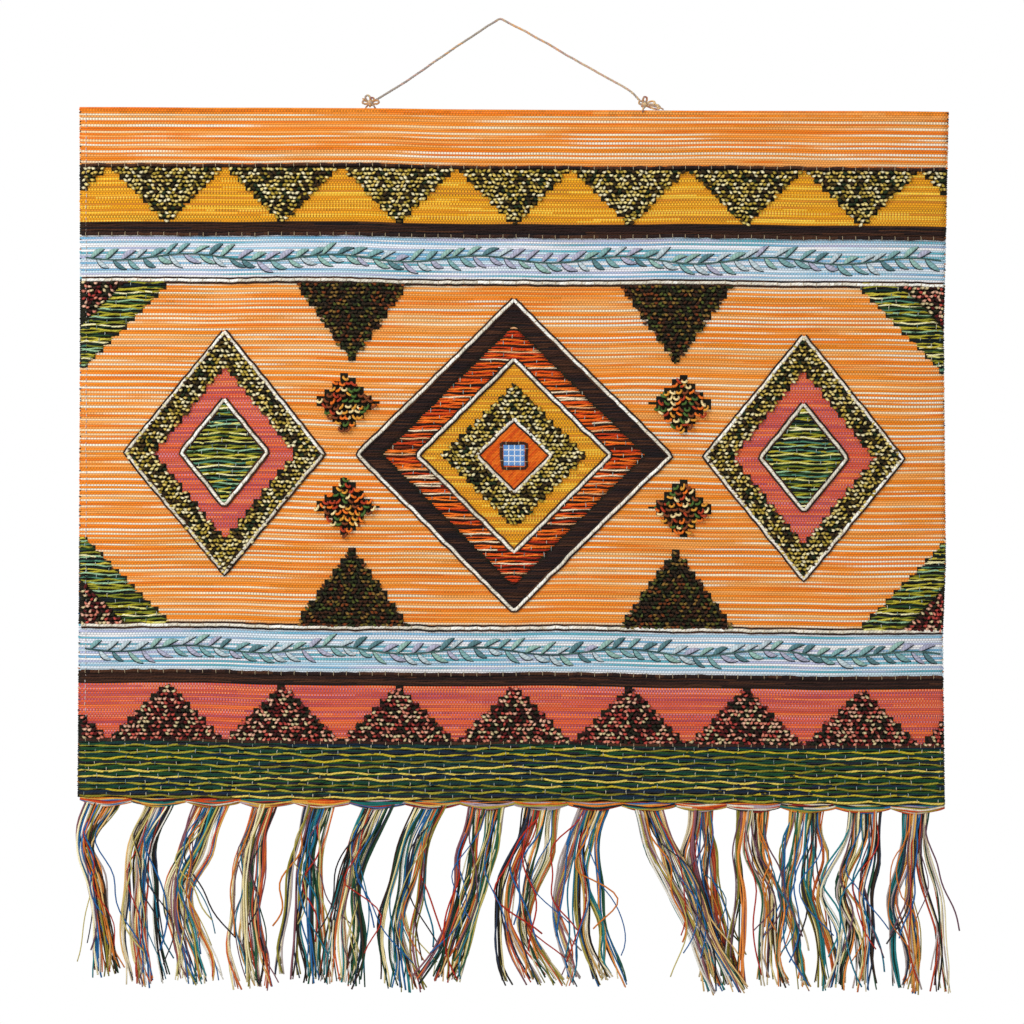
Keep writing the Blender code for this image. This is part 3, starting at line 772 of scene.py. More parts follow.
rng = np.random.default_rng(12)
wall_across = np.linspace(HALF_WIDTH_MM, -HALF_WIDTH_MM, WALL_COLUMNS + 1)
wall_points = panel_point(wall_across[None], furrows[:, None], -PANEL_THICKNESS / MM)
middles = (wall_across[:-1] + wall_across[1:]) / 2
wall_zones = zone_at(middles[None], cell_down[:, None])
wall_shades = ground_shades(wall_zones, WALL_GROUNDS, rng)
wall_lay = np.stack(np.broadcast_arrays(wall_across[None] / WARP_MM,
                                        np.arange(WEFT_ROWS + 1)[:, None]), axis=-1)
wall_mesh = cloth_mesh("panel_wall_side", wall_points, *wall_shades, wall_lay)
hang_piece("panel_wall_side", wall_mesh, woven_yarn)

starts = rng.uniform(-HALF_WIDTH_MM + CARRIED_START_IN_MM, HALF_WIDTH_MM - CARRIED_START_IN_MM,
                     CARRIED_YARNS)
reaches = rng.uniform(*CARRIED_LENGTHS_MM, CARRIED_YARNS)
ends = np.minimum(starts + reaches, HALF_WIDTH_MM - CARRIED_END_IN_MM)
carried_down = rng.choice(CARRIED_LEVELS_MM, CARRIED_YARNS)
carried_down = carried_down + rng.uniform(*CARRIED_SPREAD_MM, CARRIED_YARNS)
share = np.linspace(0, 1, CARRIED_STEPS)[None]
carried_across = starts[:, None] + (ends - starts)[:, None] * share
slack = np.sin(np.pi * share)
slant = rng.uniform(-CARRIED_SLANT_MM, CARRIED_SLANT_MM, (CARRIED_YARNS, 1))
sag = rng.uniform(*CARRIED_SAGS_MM, (CARRIED_YARNS, 1))
carried_down = carried_down[:, None] + slant * share + slack * sag
behind = PANEL_THICKNESS / MM + CARRIED_OFF_MM + CARRIED_RADIUS_MM + CARRIED_SLACK_MM * slack
carried_courses = panel_point(carried_across, carried_down, -behind)
carried_shades = drifting(CARRIED_COLOURS, (CARRIED_YARNS, CARRIED_STEPS - 1), CARRIED_CHANGE, rng)
carried_heap = YarnHeap()
carried_heap.add_yarns(carried_courses, CARRIED_RADIUS_MM * MM, carried_shades)
tapestry_yarn = yarn_material("tapestry_yarn", turn=5.5, plies=2, relief=0.0004)
carried_heap.as_piece("carried_yarns", tapestry_yarn)


# Floats and satin: soft yarns left to run over the weave between two places, side by side. The
# floats are slack, so that they part and close again round the thin pale ties that hold them.
Strand = namedtuple("Strand", "colours radius wave")
Laying = namedtuple("Laying", "zone pitch rise flat longest strands")
LAYINGS = (
    Laying("bark satin", 1.75, 1.5, 0.85, 400.0, (
        Strand(((0.23, 0.14, 0.11), (0.16, 0.10, 0.09), (0.30, 0.18, 0.12)), 0.98, 0.2),
        Strand(((0.18, 0.11, 0.10), (0.12, 0.09, 0.10), (0.24, 0.14, 0.09)), 0.92, 0.2),
    )),
    Laying("rust floats", 2.05, 2.8, 0.9, 150.0, (
        Strand(((0.87, 0.31, 0.07), (0.93, 0.42, 0.10), (0.80, 0.25, 0.07)), 1.15, 0.8),
        Strand(((0.78, 0.24, 0.07), (0.90, 0.36, 0.08), (0.96, 0.50, 0.16)), 1.15, 0.8),
        Strand(((0.90, 0.38, 0.09), (0.72, 0.20, 0.07), (0.88, 0.66, 0.46), (0.94, 0.84, 0.70)), 1.10, 0.6),
        Strand(((0.28, 0.12, 0.08), (0.20, 0.10, 0.08), (0.42, 0.16, 0.08)), 0.85, 0.4),
    )),
    Laying("leaf floats", 2.15, 2.9, 0.85, 130.0, (
        Strand(((0.66, 0.62, 0.16), (0.56, 0.55, 0.15), (0.78, 0.72, 0.26)), 1.25, 1.3),
        Strand(((0.93, 0.90, 0.68), (0.84, 0.82, 0.48), (0.58, 0.72, 0.56)), 1.15, 1.3),
        Strand(((0.10, 0.20, 0.15), (0.08, 0.13, 0.14), (0.16, 0.28, 0.14)), 1.10, 0.8),
        Strand(((0.45, 0.48, 0.14), (0.72, 0.68, 0.22), (0.30, 0.50, 0.40)), 1.15, 1.2),
    )),
    Laying("night floats", 2.15, 2.9, 0.85, 260.0, (
        Strand(((0.10, 0.24, 0.20), (0.08, 0.16, 0.24), (0.12, 0.28, 0.14)), 1.30, 0.5),
        Strand(((0.10, 0.20, 0.22), (0.09, 0.26, 0.17), (0.14, 0.15, 0.19)), 1.30, 0.5),
        Strand(((0.74, 0.66, 0.16), (0.62, 0.58, 0.18), (0.86, 0.76, 0.34), (0.52, 0.48, 0.14)), 1.40, 1.3),
    )),
)
STRAND_STEP_MM = 6.5
STRAND_LEAST_STEPS = 5
STRAND_UNEVEN = (0.9, 1.1)
STRAND_CHANGE = 0.03
WAVE_LENGTH_MM = 46.0
WAVE_SHIFT = 0.05
WAVE_STRAY = 0.35
SWING_STRAY_MM = 0.14
RISE_STRAY_MM = 0.12
START_STRAYS_MM = (-0.8, 1.2)
END_STRAYS_MM = (-1.2, 0.8)
CUT_SHARES = (0.35, 1.0)
LAP_MM = 5
TUCK_MM = 4.0
TUCKED_THINNER = 0.55
SHORTEST_MM = 4.0
SKIPPED = 0.12
TIED_ZONES = ("rust floats", "leaf floats", "night floats")
TIED_SHARE = 0.8
TIE_COLOURS = ((0.72, 0.76, 0.74), (0.86, 0.84, 0.74), (0.52, 0.60, 0.58))
TIE_LEFT_IN_MM = 8
TIE_RIGHT_IN_MM = 4
TIE_CLEAR_MM = 3
TIE_ACROSS_MM = 21.0
TIE_ACROSS_STRAY_MM = 3.5
TIE_DOWN_MM = 6.45
TIE_REACH_MM = 1.9
TIE_REACH_UNEVEN = (0.8, 1.4)
TIE_BEND_MM = 0.15
TIE_TOP_MM = 3.25
TIE_DROP_MM = 1.6
TIE_DROP_POWER = 4
TIE_RADIUS_MM = 0.34
TIE_STEPS = 5


def picked(colours, size, rng):
    """Colours taken at random, as light values."""
    return linear(colours)[rng.integers(len(colours), size=size)]


def staggered(acrosses, downs, step):
    """A grid of places where every other row lies half a step further on."""
    across, down = np.meshgrid(acrosses, downs)
    return across + (np.arange(len(downs)) % 2)[:, None] * step / 2, down


def runs_in(zone, down, longest, rng):
    """Stretches of a level line across the panel that lie in a zone, cut where yarns run out."""
    across = np.arange(-HALF_WIDTH_MM, HALF_WIDTH_MM + 1)
    inside = zone_at(across, down) == zone
    edges = np.flatnonzero(np.diff(np.concatenate([[False], inside, [False]])))
    runs = []
    for start, end in zip(across[edges[::2]], across[edges[1::2] - 1]):
        while end - start > longest:
            cut = start + longest * rng.uniform(*CUT_SHARES)
            runs.append((start, cut))
            start = cut - rng.uniform(0, LAP_MM)
        if end - start > SHORTEST_MM:
            runs.append((start, end))
    return runs


def lay_strands(heap, laying, rng):
    """Fills a zone with strands that run with the weft, and tuck into it at both ends."""
    levels = np.arange(laying.pitch / 2, HEIGHT_MM, laying.pitch)
    for number, down in enumerate(levels):
        strand = laying.strands[(number + int(rng.random() < SKIPPED)) % len(laying.strands)]
        side = math.pi * (number % 2) + rng.normal(0, WAVE_STRAY)
        for start, end in runs_in(laying.zone, min(down, HEIGHT_MM - 1), laying.longest, rng):
            start += rng.uniform(*START_STRAYS_MM)
            end += rng.uniform(*END_STRAYS_MM)
            count = max(STRAND_LEAST_STEPS, round((end - start) / STRAND_STEP_MM) + 1)
            across = np.linspace(start, end, count)
            free = np.clip(np.minimum(across - start, end - across) / TUCK_MM, 0, 1)
            turn = 2 * math.pi * across / WAVE_LENGTH_MM + side + down * WAVE_SHIFT
            swing = (strand.wave * np.sin(turn) + rng.normal(0, SWING_STRAY_MM, count)) * free
            rise = laying.rise - strand.radius * laying.flat
            proud = rise * np.sqrt(free) + rng.normal(0, RISE_STRAY_MM, count)
            level = np.minimum(down + row_drift_mm(across, down) + swing, HEIGHT_MM - strand.radius)
            course = panel_point(across, level, proud)
            shades = drifting(strand.colours, (1, count - 1), STRAND_CHANGE, rng)
            radius = strand.radius * MM * rng.uniform(*STRAND_UNEVEN, count)
            radius[[0, -1]] *= TUCKED_THINNER
            heap.add_yarns(course, radius, shades, flat=laying.flat)


rng = np.random.default_rng(21)
soft_yarn = yarn_material("soft_yarn", turn=7.5, plies=2, relief=0.0004)
for laying in LAYINGS:
    strand_heap = YarnHeap()
    lay_strands(strand_heap, laying, rng)
    strand_heap.as_piece(laying.zone.replace(" ", "_"), soft_yarn)

tie_downs = np.arange(TIE_DOWN_MM / 2, HEIGHT_MM - TIE_REACH_MM, TIE_DOWN_MM)
tie_acrosses = np.arange(-HALF_WIDTH_MM + TIE_LEFT_IN_MM, HALF_WIDTH_MM - TIE_RIGHT_IN_MM, TIE_ACROSS_MM)
across, down = staggered(tie_acrosses, tie_downs, TIE_ACROSS_MM)
across = across + rng.uniform(-TIE_ACROSS_STRAY_MM, TIE_ACROSS_STRAY_MM, across.shape)
tied = np.isin(zone_at(across, down), TIED_ZONES) & (rng.random(down.shape) < TIED_SHARE)
tied &= across < HALF_WIDTH_MM - TIE_CLEAR_MM
count = tied.sum()
reach = np.linspace(-1, 1, TIE_STEPS)
tie_courses = panel_point(
    across[tied][:, None] + rng.normal(0, TIE_BEND_MM, (count, TIE_STEPS)),
    down[tied][:, None] + reach * rng.uniform(*TIE_REACH_UNEVEN, (count, 1)) * TIE_REACH_MM,
    TIE_TOP_MM - TIE_DROP_MM * reach ** TIE_DROP_POWER,
)
tie_heap = YarnHeap()
tie_shades = picked(TIE_COLOURS, count, rng)
tie_heap.add_yarns(tie_courses, TIE_RADIUS_MM * MM, tie_shades, sides=4, across=(1, 0, 0))
tie_heap.as_piece("ties", tapestry_yarn)


# Tufts: a dark yarn spun with pale slubs, pulled up from the weft in small loops close together,
# so that a pale crest stands out of a dark pile wherever a slub comes to the top.
Tufting = namedtuple("Tufting", "zone flanks crests pale")
TUFTINGS = (
    Tufting("moss tufts",
            ((0.16, 0.13, 0.05), (0.20, 0.14, 0.06), (0.12, 0.17, 0.08), (0.28, 0.22, 0.07)),
            ((0.97, 0.89, 0.58), (0.90, 0.78, 0.40), (1.00, 0.95, 0.76), (0.74, 0.64, 0.24)), 0.72),
    Tufting("rust tufts",
            ((0.15, 0.11, 0.06), (0.22, 0.12, 0.06), (0.13, 0.15, 0.06)),
            ((0.44, 0.38, 0.14), (0.52, 0.26, 0.11), (0.34, 0.38, 0.15), (0.58, 0.44, 0.20)), 0.42),
    Tufting("berry tufts",
            ((0.30, 0.07, 0.07), (0.18, 0.07, 0.06), (0.12, 0.12, 0.07)),
            ((0.95, 0.74, 0.62), (0.90, 0.82, 0.62), (0.78, 0.30, 0.26), (0.92, 0.56, 0.46)), 0.6),
)
TUFT_APART_MM = (4.3, 4.1)
TUFT_FIRST_DOWN_MM = TUFT_APART_MM[1] / 2
TUFT_STRAYS_MM = (0.8, 0.7)
TUFT_IN_MM = 2.5
TUFT_HALF_MM = 1.9
TUFT_HALF_UNEVEN = (0.8, 1.15)
TUFT_RISE_MM = 5.0
TUFT_RISE_UNEVEN = (0.75, 1.12)
TUFT_SAGS_MM = (0.2, 1.4)
TUFT_RADIUS_MM = 1.3
TUFT_RADIUS_UNEVEN = (0.85, 1.12)
TUFT_YAW = 0.45
TUFT_STEPS = 6
CREST_UNEVEN = (0.8, 1.1)
CREST_SHARES = (0.0, 0.55, 1.0, 0.55, 0.0)
# Loops without a pale slub are painted this much lighter at their crest than on their flanks: painted
# light.
PAINTED_CREST_LIGHT = 1.5


def worked_places(zone, apart, first_down, strays, rng):
    """Staggered places that lie in a zone, clear of the sides, each strayed a little."""
    acrosses = np.arange(-HALF_WIDTH_MM, HALF_WIDTH_MM, apart[0])
    across, down = staggered(acrosses, np.arange(first_down, HEIGHT_MM, apart[1]), apart[0])
    worked = (zone_at(across, down) == zone) & (np.abs(across) < HALF_WIDTH_MM - TUFT_IN_MM)
    across = across[worked] + rng.uniform(-strays[0], strays[0], worked.sum())
    down = down[worked] + rng.uniform(-strays[1], strays[1], worked.sum())
    return across[:, None], down[:, None]


def turned(across, down, along, yaw, proud):
    """Courses of loops that stand on the face, each turned its own way, and the way across each."""
    courses = panel_point(across + along * np.cos(yaw), down + along * np.sin(yaw), proud)
    return courses, np.stack([np.sin(yaw), 0 * yaw, np.cos(yaw)], axis=-1)


rng = np.random.default_rng(22)
for tufting in TUFTINGS:
    across, down = worked_places(tufting.zone, TUFT_APART_MM, TUFT_FIRST_DOWN_MM, TUFT_STRAYS_MM, rng)
    count = len(across)
    turn = np.linspace(0, math.pi, TUFT_STEPS)[None]
    yaw = rng.normal(0, TUFT_YAW, (count, 1))
    along = -np.cos(turn) * TUFT_HALF_MM * rng.uniform(*TUFT_HALF_UNEVEN, (count, 1))
    height = (TUFT_RISE_MM - TUFT_RADIUS_MM) * rng.uniform(*TUFT_RISE_UNEVEN, (count, 1))
    sag = rng.uniform(*TUFT_SAGS_MM, (count, 1)) * np.sin(turn)
    flanks = picked(tufting.flanks, count, rng)
    crests = picked(tufting.crests, count, rng) * rng.uniform(*CREST_UNEVEN, (count, 1))
    # Loops without a pale slub get their own colour painted lighter on top, as painted light on their
    # crests.
    crests = np.where(rng.random((count, 1)) < tufting.pale, crests, flanks * PAINTED_CREST_LIGHT)
    share = np.array(CREST_SHARES)[None, :, None]
    shades = flanks[:, None] * (1 - share) + crests[:, None] * share
    radius = TUFT_RADIUS_MM * MM * rng.uniform(*TUFT_RADIUS_UNEVEN, (count, 1))
    tuft_heap = YarnHeap()
    courses, beside = turned(across, down + sag, along, yaw, np.sin(turn) * height)
    tuft_heap.add_yarns(courses, radius, shades, sides=4, across=beside)
    tuft_heap.as_piece(tufting.zone.replace(" ", "_"), soft_yarn)


# Four little diamonds of standing loops, each loop of one bright slack yarn pulled up higher than
# the tufts and left to fall over.
LOOP_COLOURS = ((0.93, 0.47, 0.14), (0.95, 0.86, 0.62), (0.30, 0.42, 0.18), (0.50, 0.26, 0.13),
                (0.88, 0.62, 0.22), (0.70, 0.24, 0.12))
LOOP_CHANGE = 0.05
LOOP_APART_MM = (6.4, 5.8)
LOOP_STRAYS_MM = (1, 1)
LOOP_HALF_MM = 2.6
LOOP_RISE_MM = 6.8
LOOP_RISE_UNEVEN = (0.8, 1.1)
LOOP_FALLS_MM = (1.5, 4.5)
LOOP_ROOT = 0.4
LOOP_RADIUS_MM = 1.2
LOOP_YAW = 0.9
LOOP_TURN = (-0.25 * math.pi, 1.25 * math.pi)
LOOP_STEPS = 10

rng = np.random.default_rng(23)
across, down = worked_places("loops", LOOP_APART_MM, 0, LOOP_STRAYS_MM, rng)
count = len(across)
turn = np.linspace(*LOOP_TURN, LOOP_STEPS)[None]
yaw = rng.uniform(-LOOP_YAW, LOOP_YAW, (count, 1))
fall = rng.uniform(*LOOP_FALLS_MM, (count, 1)) * (1 + np.sin(turn)) / 2
height = (LOOP_RISE_MM - LOOP_RADIUS_MM) * rng.uniform(*LOOP_RISE_UNEVEN, (count, 1))
proud = (LOOP_ROOT + np.sin(turn)) / (LOOP_ROOT + 1) * height
shades = drifting(LOOP_COLOURS, (count, LOOP_STEPS - 1), LOOP_CHANGE, rng)
loop_heap = YarnHeap()
courses, beside = turned(across, down + fall, -np.cos(turn) * LOOP_HALF_MM, yaw, proud)
loop_heap.add_yarns(courses, LOOP_RADIUS_MM * MM, shades, sides=6, across=beside)
loop_heap.as_piece("standing_loops", soft_yarn)


# In the middle of the large diamond lies a patch of orange felt, and on it a small block of
# checked cloth. Both are sewn down under the cords that outline them.
FELT_CELLS = 30
FELT_HALF_MM = DIAMONDS[0].half_width * COLUMN_MM * DIAMONDS[0].rings[-1].outer
FELT_RISE_MM = 2.0
FELT_CHANGE = 0.2
FELT_COLOURS = ((0.92, 0.40, 0.08), (0.86, 0.33, 0.08), (0.95, 0.46, 0.12))
CHECK_CELLS = 24
CHECK_HALF_MM = 12.0
CHECK_RISE_MM = 2.9
CHECK_PERIOD = 6
CHECK_BLUE = (0.42, 0.62, 0.86)
CHECK_WHITE = (0.93, 0.94, 0.96)
PATCH_DOWN_MM = HEIGHT_MM / 2
PATCH_EDGE_DROP = 0.6
PATCH_EDGE_POWER = 8


def add_patch(name, shades, rise, place):
    """A small patch of cloth, with places on it given by two shares of its half sides."""
    share = np.linspace(-1, 1, len(shades) + 1)
    rows, columns = np.meshgrid(share, share, indexing="ij")
    across, down = place(rows, columns)
    edge = np.maximum(np.abs(rows), np.abs(columns))
    proud = rise * (1 - PATCH_EDGE_DROP * edge ** PATCH_EDGE_POWER)
    points = panel_point(across, down + PATCH_DOWN_MM, proud)
    lay = np.stack([across, down], axis=-1) / WARP_MM
    mesh = cloth_mesh(name, points, shades, shades, np.zeros(shades.shape[:2]), lay)
    hang_piece(name, mesh, woven_yarn)


def felt_place(rows, columns):
    """Places on the felt, which stands on one of its corners."""
    return (rows + columns) * FELT_HALF_MM / 2, (rows - columns) * FELT_HALF_MM / 2


def check_place(rows, columns):
    """Places on the checked block, which lies level."""
    return columns * CHECK_HALF_MM, rows * CHECK_HALF_MM


rng = np.random.default_rng(24)
felt_shades = drifting(FELT_COLOURS, (FELT_CELLS, FELT_CELLS), FELT_CHANGE, rng)
add_patch("felt_patch", felt_shades, FELT_RISE_MM, felt_place)
line = np.arange(CHECK_CELLS) % CHECK_PERIOD == 0
checks = np.where((line[:, None] | line[None])[..., None], linear(CHECK_WHITE), linear(CHECK_BLUE))
add_patch("checked_block", checks, CHECK_RISE_MM, check_place)


# Couched cords: thick cotton cord laid along the edge of a band or round a motif, and held down by
# a fine stitch every centimetre or so. Each white cord has a thin dark line laid along either side.
CORD_STEP_MM = 4.5
CORD_RADIUS_MM = 1.75
CORD_RISE_MM = 2.1
CORD_FLAT = 0.9
CORD_UNEVEN = (0.9, 1.1)
CORD_CHANGE = 0.2
CORD_IN_MM = 2
CORD_CLEAR_MM = 1
CORD_WANDER_MM = 0.35
CORD_LIFT_STRAY_MM = 0.12
FLANK_RADIUS_MM = 1.0
FLANK_OFFSET_MM = 2.5
FLANK_RISE_MM = 1.3
STITCH_EVERY = 3
STITCH_STEPS = 5
STITCH_RADIUS_MM = 0.3
STITCH_REACH_MM = CORD_RADIUS_MM + 0.6
STITCH_RISE_MM = CORD_RISE_MM + CORD_RADIUS_MM * CORD_FLAT + 0.15
STITCH_DROP = 0.85
STITCH_DROP_POWER = 4
WHITE_CORD = ((0.93, 0.90, 0.84), (0.86, 0.83, 0.76), (0.97, 0.96, 0.92))
BROWN_CORD = ((0.22, 0.13, 0.10), (0.16, 0.10, 0.09), (0.28, 0.17, 0.11))
CREAM_STITCH = (0.80, 0.72, 0.58)
WHITE_ROWS = (15, 45)
BROWN_ROWS = (5, 11, 49, 55)
DIAMOND_CORNERS = ((0, -1), (1, 0), (0, 1), (-1, 0), (0, -1))
SQUARE_CORNERS = ((-1, -1), (1, -1), (1, 1), (-1, 1), (-1, -1))
Outline = namedtuple("Outline", "diamond reach side")
OUTLINES = (Outline(0, 1.0, 1), Outline(0, 0.62, 1), Outline(0, 0.24, 1), Outline(1, 1.0, -1),
            Outline(1, 1.0, 1), Outline(1, 0.44, -1), Outline(1, 0.44, 1))
CHECK_OUTLINE_MM = 13.0


def even_course(knots, step):
    """Points about a step apart along straight runs between a few places on the panel."""
    knots = np.asarray(knots, float)
    run = length_along(knots)
    goals = np.linspace(0, run[-1], round(run[-1] / step) + 1)
    return np.stack([np.interp(goals, run, knots[:, axis]) for axis in range(2)], axis=1)


def couch_cord(heap, stitches, knots, colours, flanked, rng):
    """Lays a cord, the dark lines that flank it, and its stitches along a run of places."""
    places = even_course(knots, CORD_STEP_MM)
    wander = rng.normal(0, CORD_WANDER_MM, (len(places), 2))
    places = places + (wander + np.roll(wander, 1, axis=0)) / 2
    places[:, 1] += row_drift_mm(places[:, 0], places[:, 1])
    places[:, 0] = np.clip(places[:, 0], -HALF_WIDTH_MM + CORD_CLEAR_MM, HALF_WIDTH_MM - CORD_CLEAR_MM)
    along = np.gradient(places, axis=0)
    along /= np.linalg.norm(along, axis=1, keepdims=True)
    beside = np.stack([-along[:, 1], along[:, 0]], axis=1)
    laid = [(0.0, CORD_RADIUS_MM, CORD_RISE_MM, colours)]
    if flanked:
        laid += [(offset, FLANK_RADIUS_MM, FLANK_RISE_MM, BROWN_CORD)
                 for offset in (-FLANK_OFFSET_MM, FLANK_OFFSET_MM)]
    for offset, radius, rise, tones in laid:
        line = places + beside * offset
        lift = rise + rng.normal(0, CORD_LIFT_STRAY_MM, len(line))
        thick = radius * MM * rng.uniform(*CORD_UNEVEN, len(line))
        shades = drifting(tones, (1, len(line) - 1), CORD_CHANGE, rng)
        heap.add_yarns(panel_point(line[:, 0], line[:, 1], lift), thick, shades, flat=CORD_FLAT)
    share = np.linspace(-1, 1, STITCH_STEPS)
    for index in range(1, len(places) - 1, STITCH_EVERY):
        line = places[index] + beside[index] * share[:, None] * STITCH_REACH_MM
        lift = STITCH_RISE_MM * (1 - STITCH_DROP * share ** STITCH_DROP_POWER)
        stitches.add_yarns(panel_point(line[:, 0], line[:, 1], lift), STITCH_RADIUS_MM * MM,
                           linear(CREAM_STITCH), sides=4,
                           across=(along[index, 0], 0.0, -along[index, 1]))


def outline_places(corners, middle, wide, tall):
    """The corners of an outline round a place at the middle height of the panel."""
    return [(middle + wide * across, PATCH_DOWN_MM + tall * down) for across, down in corners]


rng = np.random.default_rng(31)
cord_heap = YarnHeap()
stitch_heap = YarnHeap()
side_to_side = HALF_WIDTH_MM - CORD_IN_MM
for rows, colours, flanked in ((WHITE_ROWS, WHITE_CORD, True), (BROWN_ROWS, BROWN_CORD, False)):
    for row in rows:
        ends = ((-side_to_side, row * ROW_MM), (side_to_side, row * ROW_MM))
        couch_cord(cord_heap, stitch_heap, ends, colours, flanked, rng)
for outline in OUTLINES:
    diamond = DIAMONDS[outline.diamond]
    places = outline_places(DIAMOND_CORNERS, outline.side * diamond.column * COLUMN_MM,
                            diamond.half_width * COLUMN_MM * outline.reach,
                            diamond.half_height * ROW_MM * outline.reach)
    couch_cord(cord_heap, stitch_heap, places, WHITE_CORD, True, rng)
places = outline_places(SQUARE_CORNERS, 0.0, CHECK_OUTLINE_MM, CHECK_OUTLINE_MM)
couch_cord(cord_heap, stitch_heap, places, BROWN_CORD, False, rng)
cord_heap.as_piece("couched_cords", soft_yarn)
stitch_heap.as_piece("couching_stitches", tapestry_yarn)


# A vine of leaves in slanting satin stitch runs along each of the two cool bands. Along the lower
# side of each leaf lies a fine dark yarn as a painted shadow under the raised leaf.
LEAF_EVERY_MM = 15.0
LEAF_STRAY_MM = 2
LEAF_LENGTH_MM = 19.0
LEAF_HALF_MM = 2.5
LEAF_UNEVEN = (0.8, 1.1)
LEAF_ANGLES = (0.35, 0.75)
LEAF_BEND_MM = 2.0
LEAF_ROOT = 0.12
LEAF_ROUND = 0.8
LEAF_FLAT = 0.45
LEAF_RISE_MM = 1.1
LEAF_ROOT_RISE = 0.3
LEAF_STEPS = 9
LEAF_COLOURS = ((0.48, 0.64, 0.64), (0.72, 0.78, 0.80), (0.34, 0.48, 0.50), (0.66, 0.66, 0.74),
                (0.56, 0.70, 0.66))
# The painted shadow under each leaf: a fine dark yarn along its lower side.
LEAF_PAINTED_SHADOW_COLOUR = (0.13, 0.17, 0.19)
LEAF_PAINTED_SHADOW_RADIUS_MM = 0.5
FIRST_LEAF_IN_MM = 12
LAST_LEAF_IN_MM = LEAF_LENGTH_MM + 4
VINE_ROWS = (13, 47)
VINE_IN_MM = 6
VINE_STEP_MM = 6.0
VINE_SWING_MM = 3.5
VINE_LENGTH_MM = 150.0
VINE_RISE_MM = 1.0
VINE_RADIUS_MM = 0.9
VINE_CHANGE = 0.1
VINE_COLOURS = ((0.20, 0.32, 0.32), (0.28, 0.40, 0.38))


def vine_down(row, across):
    """How far down the panel a vine runs at a place across it."""
    return row * ROW_MM + VINE_SWING_MM * np.sin(2 * np.pi * across / VINE_LENGTH_MM)


rng = np.random.default_rng(32)
leaf_heap = YarnHeap()
for row in VINE_ROWS:
    across = np.arange(-HALF_WIDTH_MM + VINE_IN_MM, HALF_WIDTH_MM - VINE_IN_MM + 1, VINE_STEP_MM)
    course = panel_point(across, vine_down(row, across), VINE_RISE_MM)
    shades = drifting(VINE_COLOURS, (1, len(across) - 1), VINE_CHANGE, rng)
    leaf_heap.add_yarns(course, VINE_RADIUS_MM * MM, shades)
    leaves = np.arange(-HALF_WIDTH_MM + FIRST_LEAF_IN_MM, HALF_WIDTH_MM - LAST_LEAF_IN_MM, LEAF_EVERY_MM)
    count = len(leaves)
    share = np.linspace(0, 1, LEAF_STEPS)[None]
    for side in (-1, 1):
        strayed = leaves + rng.uniform(-LEAF_STRAY_MM, LEAF_STRAY_MM, count)
        start = strayed[:, None] + (side + 1) * LEAF_EVERY_MM / 4
        angle = side * rng.uniform(*LEAF_ANGLES, (count, 1))
        long = LEAF_LENGTH_MM * rng.uniform(*LEAF_UNEVEN, (count, 1))
        bend = side * LEAF_BEND_MM * np.sin(np.pi * share)
        half_mm = LEAF_HALF_MM * (LEAF_ROOT + np.sin(np.pi * share ** LEAF_ROUND))
        half_mm = half_mm * rng.uniform(*LEAF_UNEVEN, (count, 1))
        across = start + long * share * np.cos(angle)
        down = vine_down(row, start) + long * share * np.sin(angle) + bend
        proud = LEAF_RISE_MM * (LEAF_ROOT_RISE + np.sin(np.pi * share))
        shades = drifting(LEAF_COLOURS, (count, LEAF_STEPS - 1), 0.0, rng)
        leaf_heap.add_yarns(panel_point(across, down, proud), half_mm * MM, shades, flat=LEAF_FLAT)
        # A painted shadow: a fine dark yarn along the lower side of each leaf.
        painted_shadow_line = panel_point(across - half_mm * np.sin(angle), down + half_mm * np.cos(angle), proud)
        leaf_heap.add_yarns(painted_shadow_line, LEAF_PAINTED_SHADOW_RADIUS_MM * MM, linear(LEAF_PAINTED_SHADOW_COLOUR), sides=4)
leaf_heap.as_piece("vine_leaves", soft_yarn)


# At each side the weft turns back round the last warp and leaves a little loop, and a fine pale
# basting thread runs down just inside the left side.
SELVEDGE_ENDS_MM = (2, HEIGHT_MM - 1)
SELVEDGE_EVERY_MM = 3.3
SELVEDGE_STRAY_MM = 0.6
SELVEDGE_IN_MM = 1.0
SELVEDGE_OUT_MM = 1.5
SELVEDGE_OUT_UNEVEN = (0.5, 1.2)
SELVEDGE_HALF_MM = 1.9
SELVEDGE_SLANT_MM = 1.2
SELVEDGE_RADIUS_MM = 0.75
SELVEDGE_STEPS = 6
SELVEDGE_COLOURS = ((0.20, 0.34, 0.46), (0.12, 0.12, 0.14), (0.75, 0.45, 0.20), (0.86, 0.74, 0.55),
                    (0.30, 0.22, 0.12))
OWN_COLOUR_SHARE = 0.55
BASTING_ENDS_MM = (8, HEIGHT_MM - 14)
BASTING_IN_MM = 6.5
BASTING_STRAY_MM = 0.25
BASTING_EVERY_MM = 6.0
BASTING_LONG_MM = 3.4
BASTING_UNEVEN = (0.7, 1.2)
BASTING_TOP_MM = 0.95
BASTING_DROP_MM = 3.2
BASTING_RADIUS_MM = 0.38
BASTING_STEPS = 5
BASTING_COLOUR = (0.90, 0.86, 0.84)

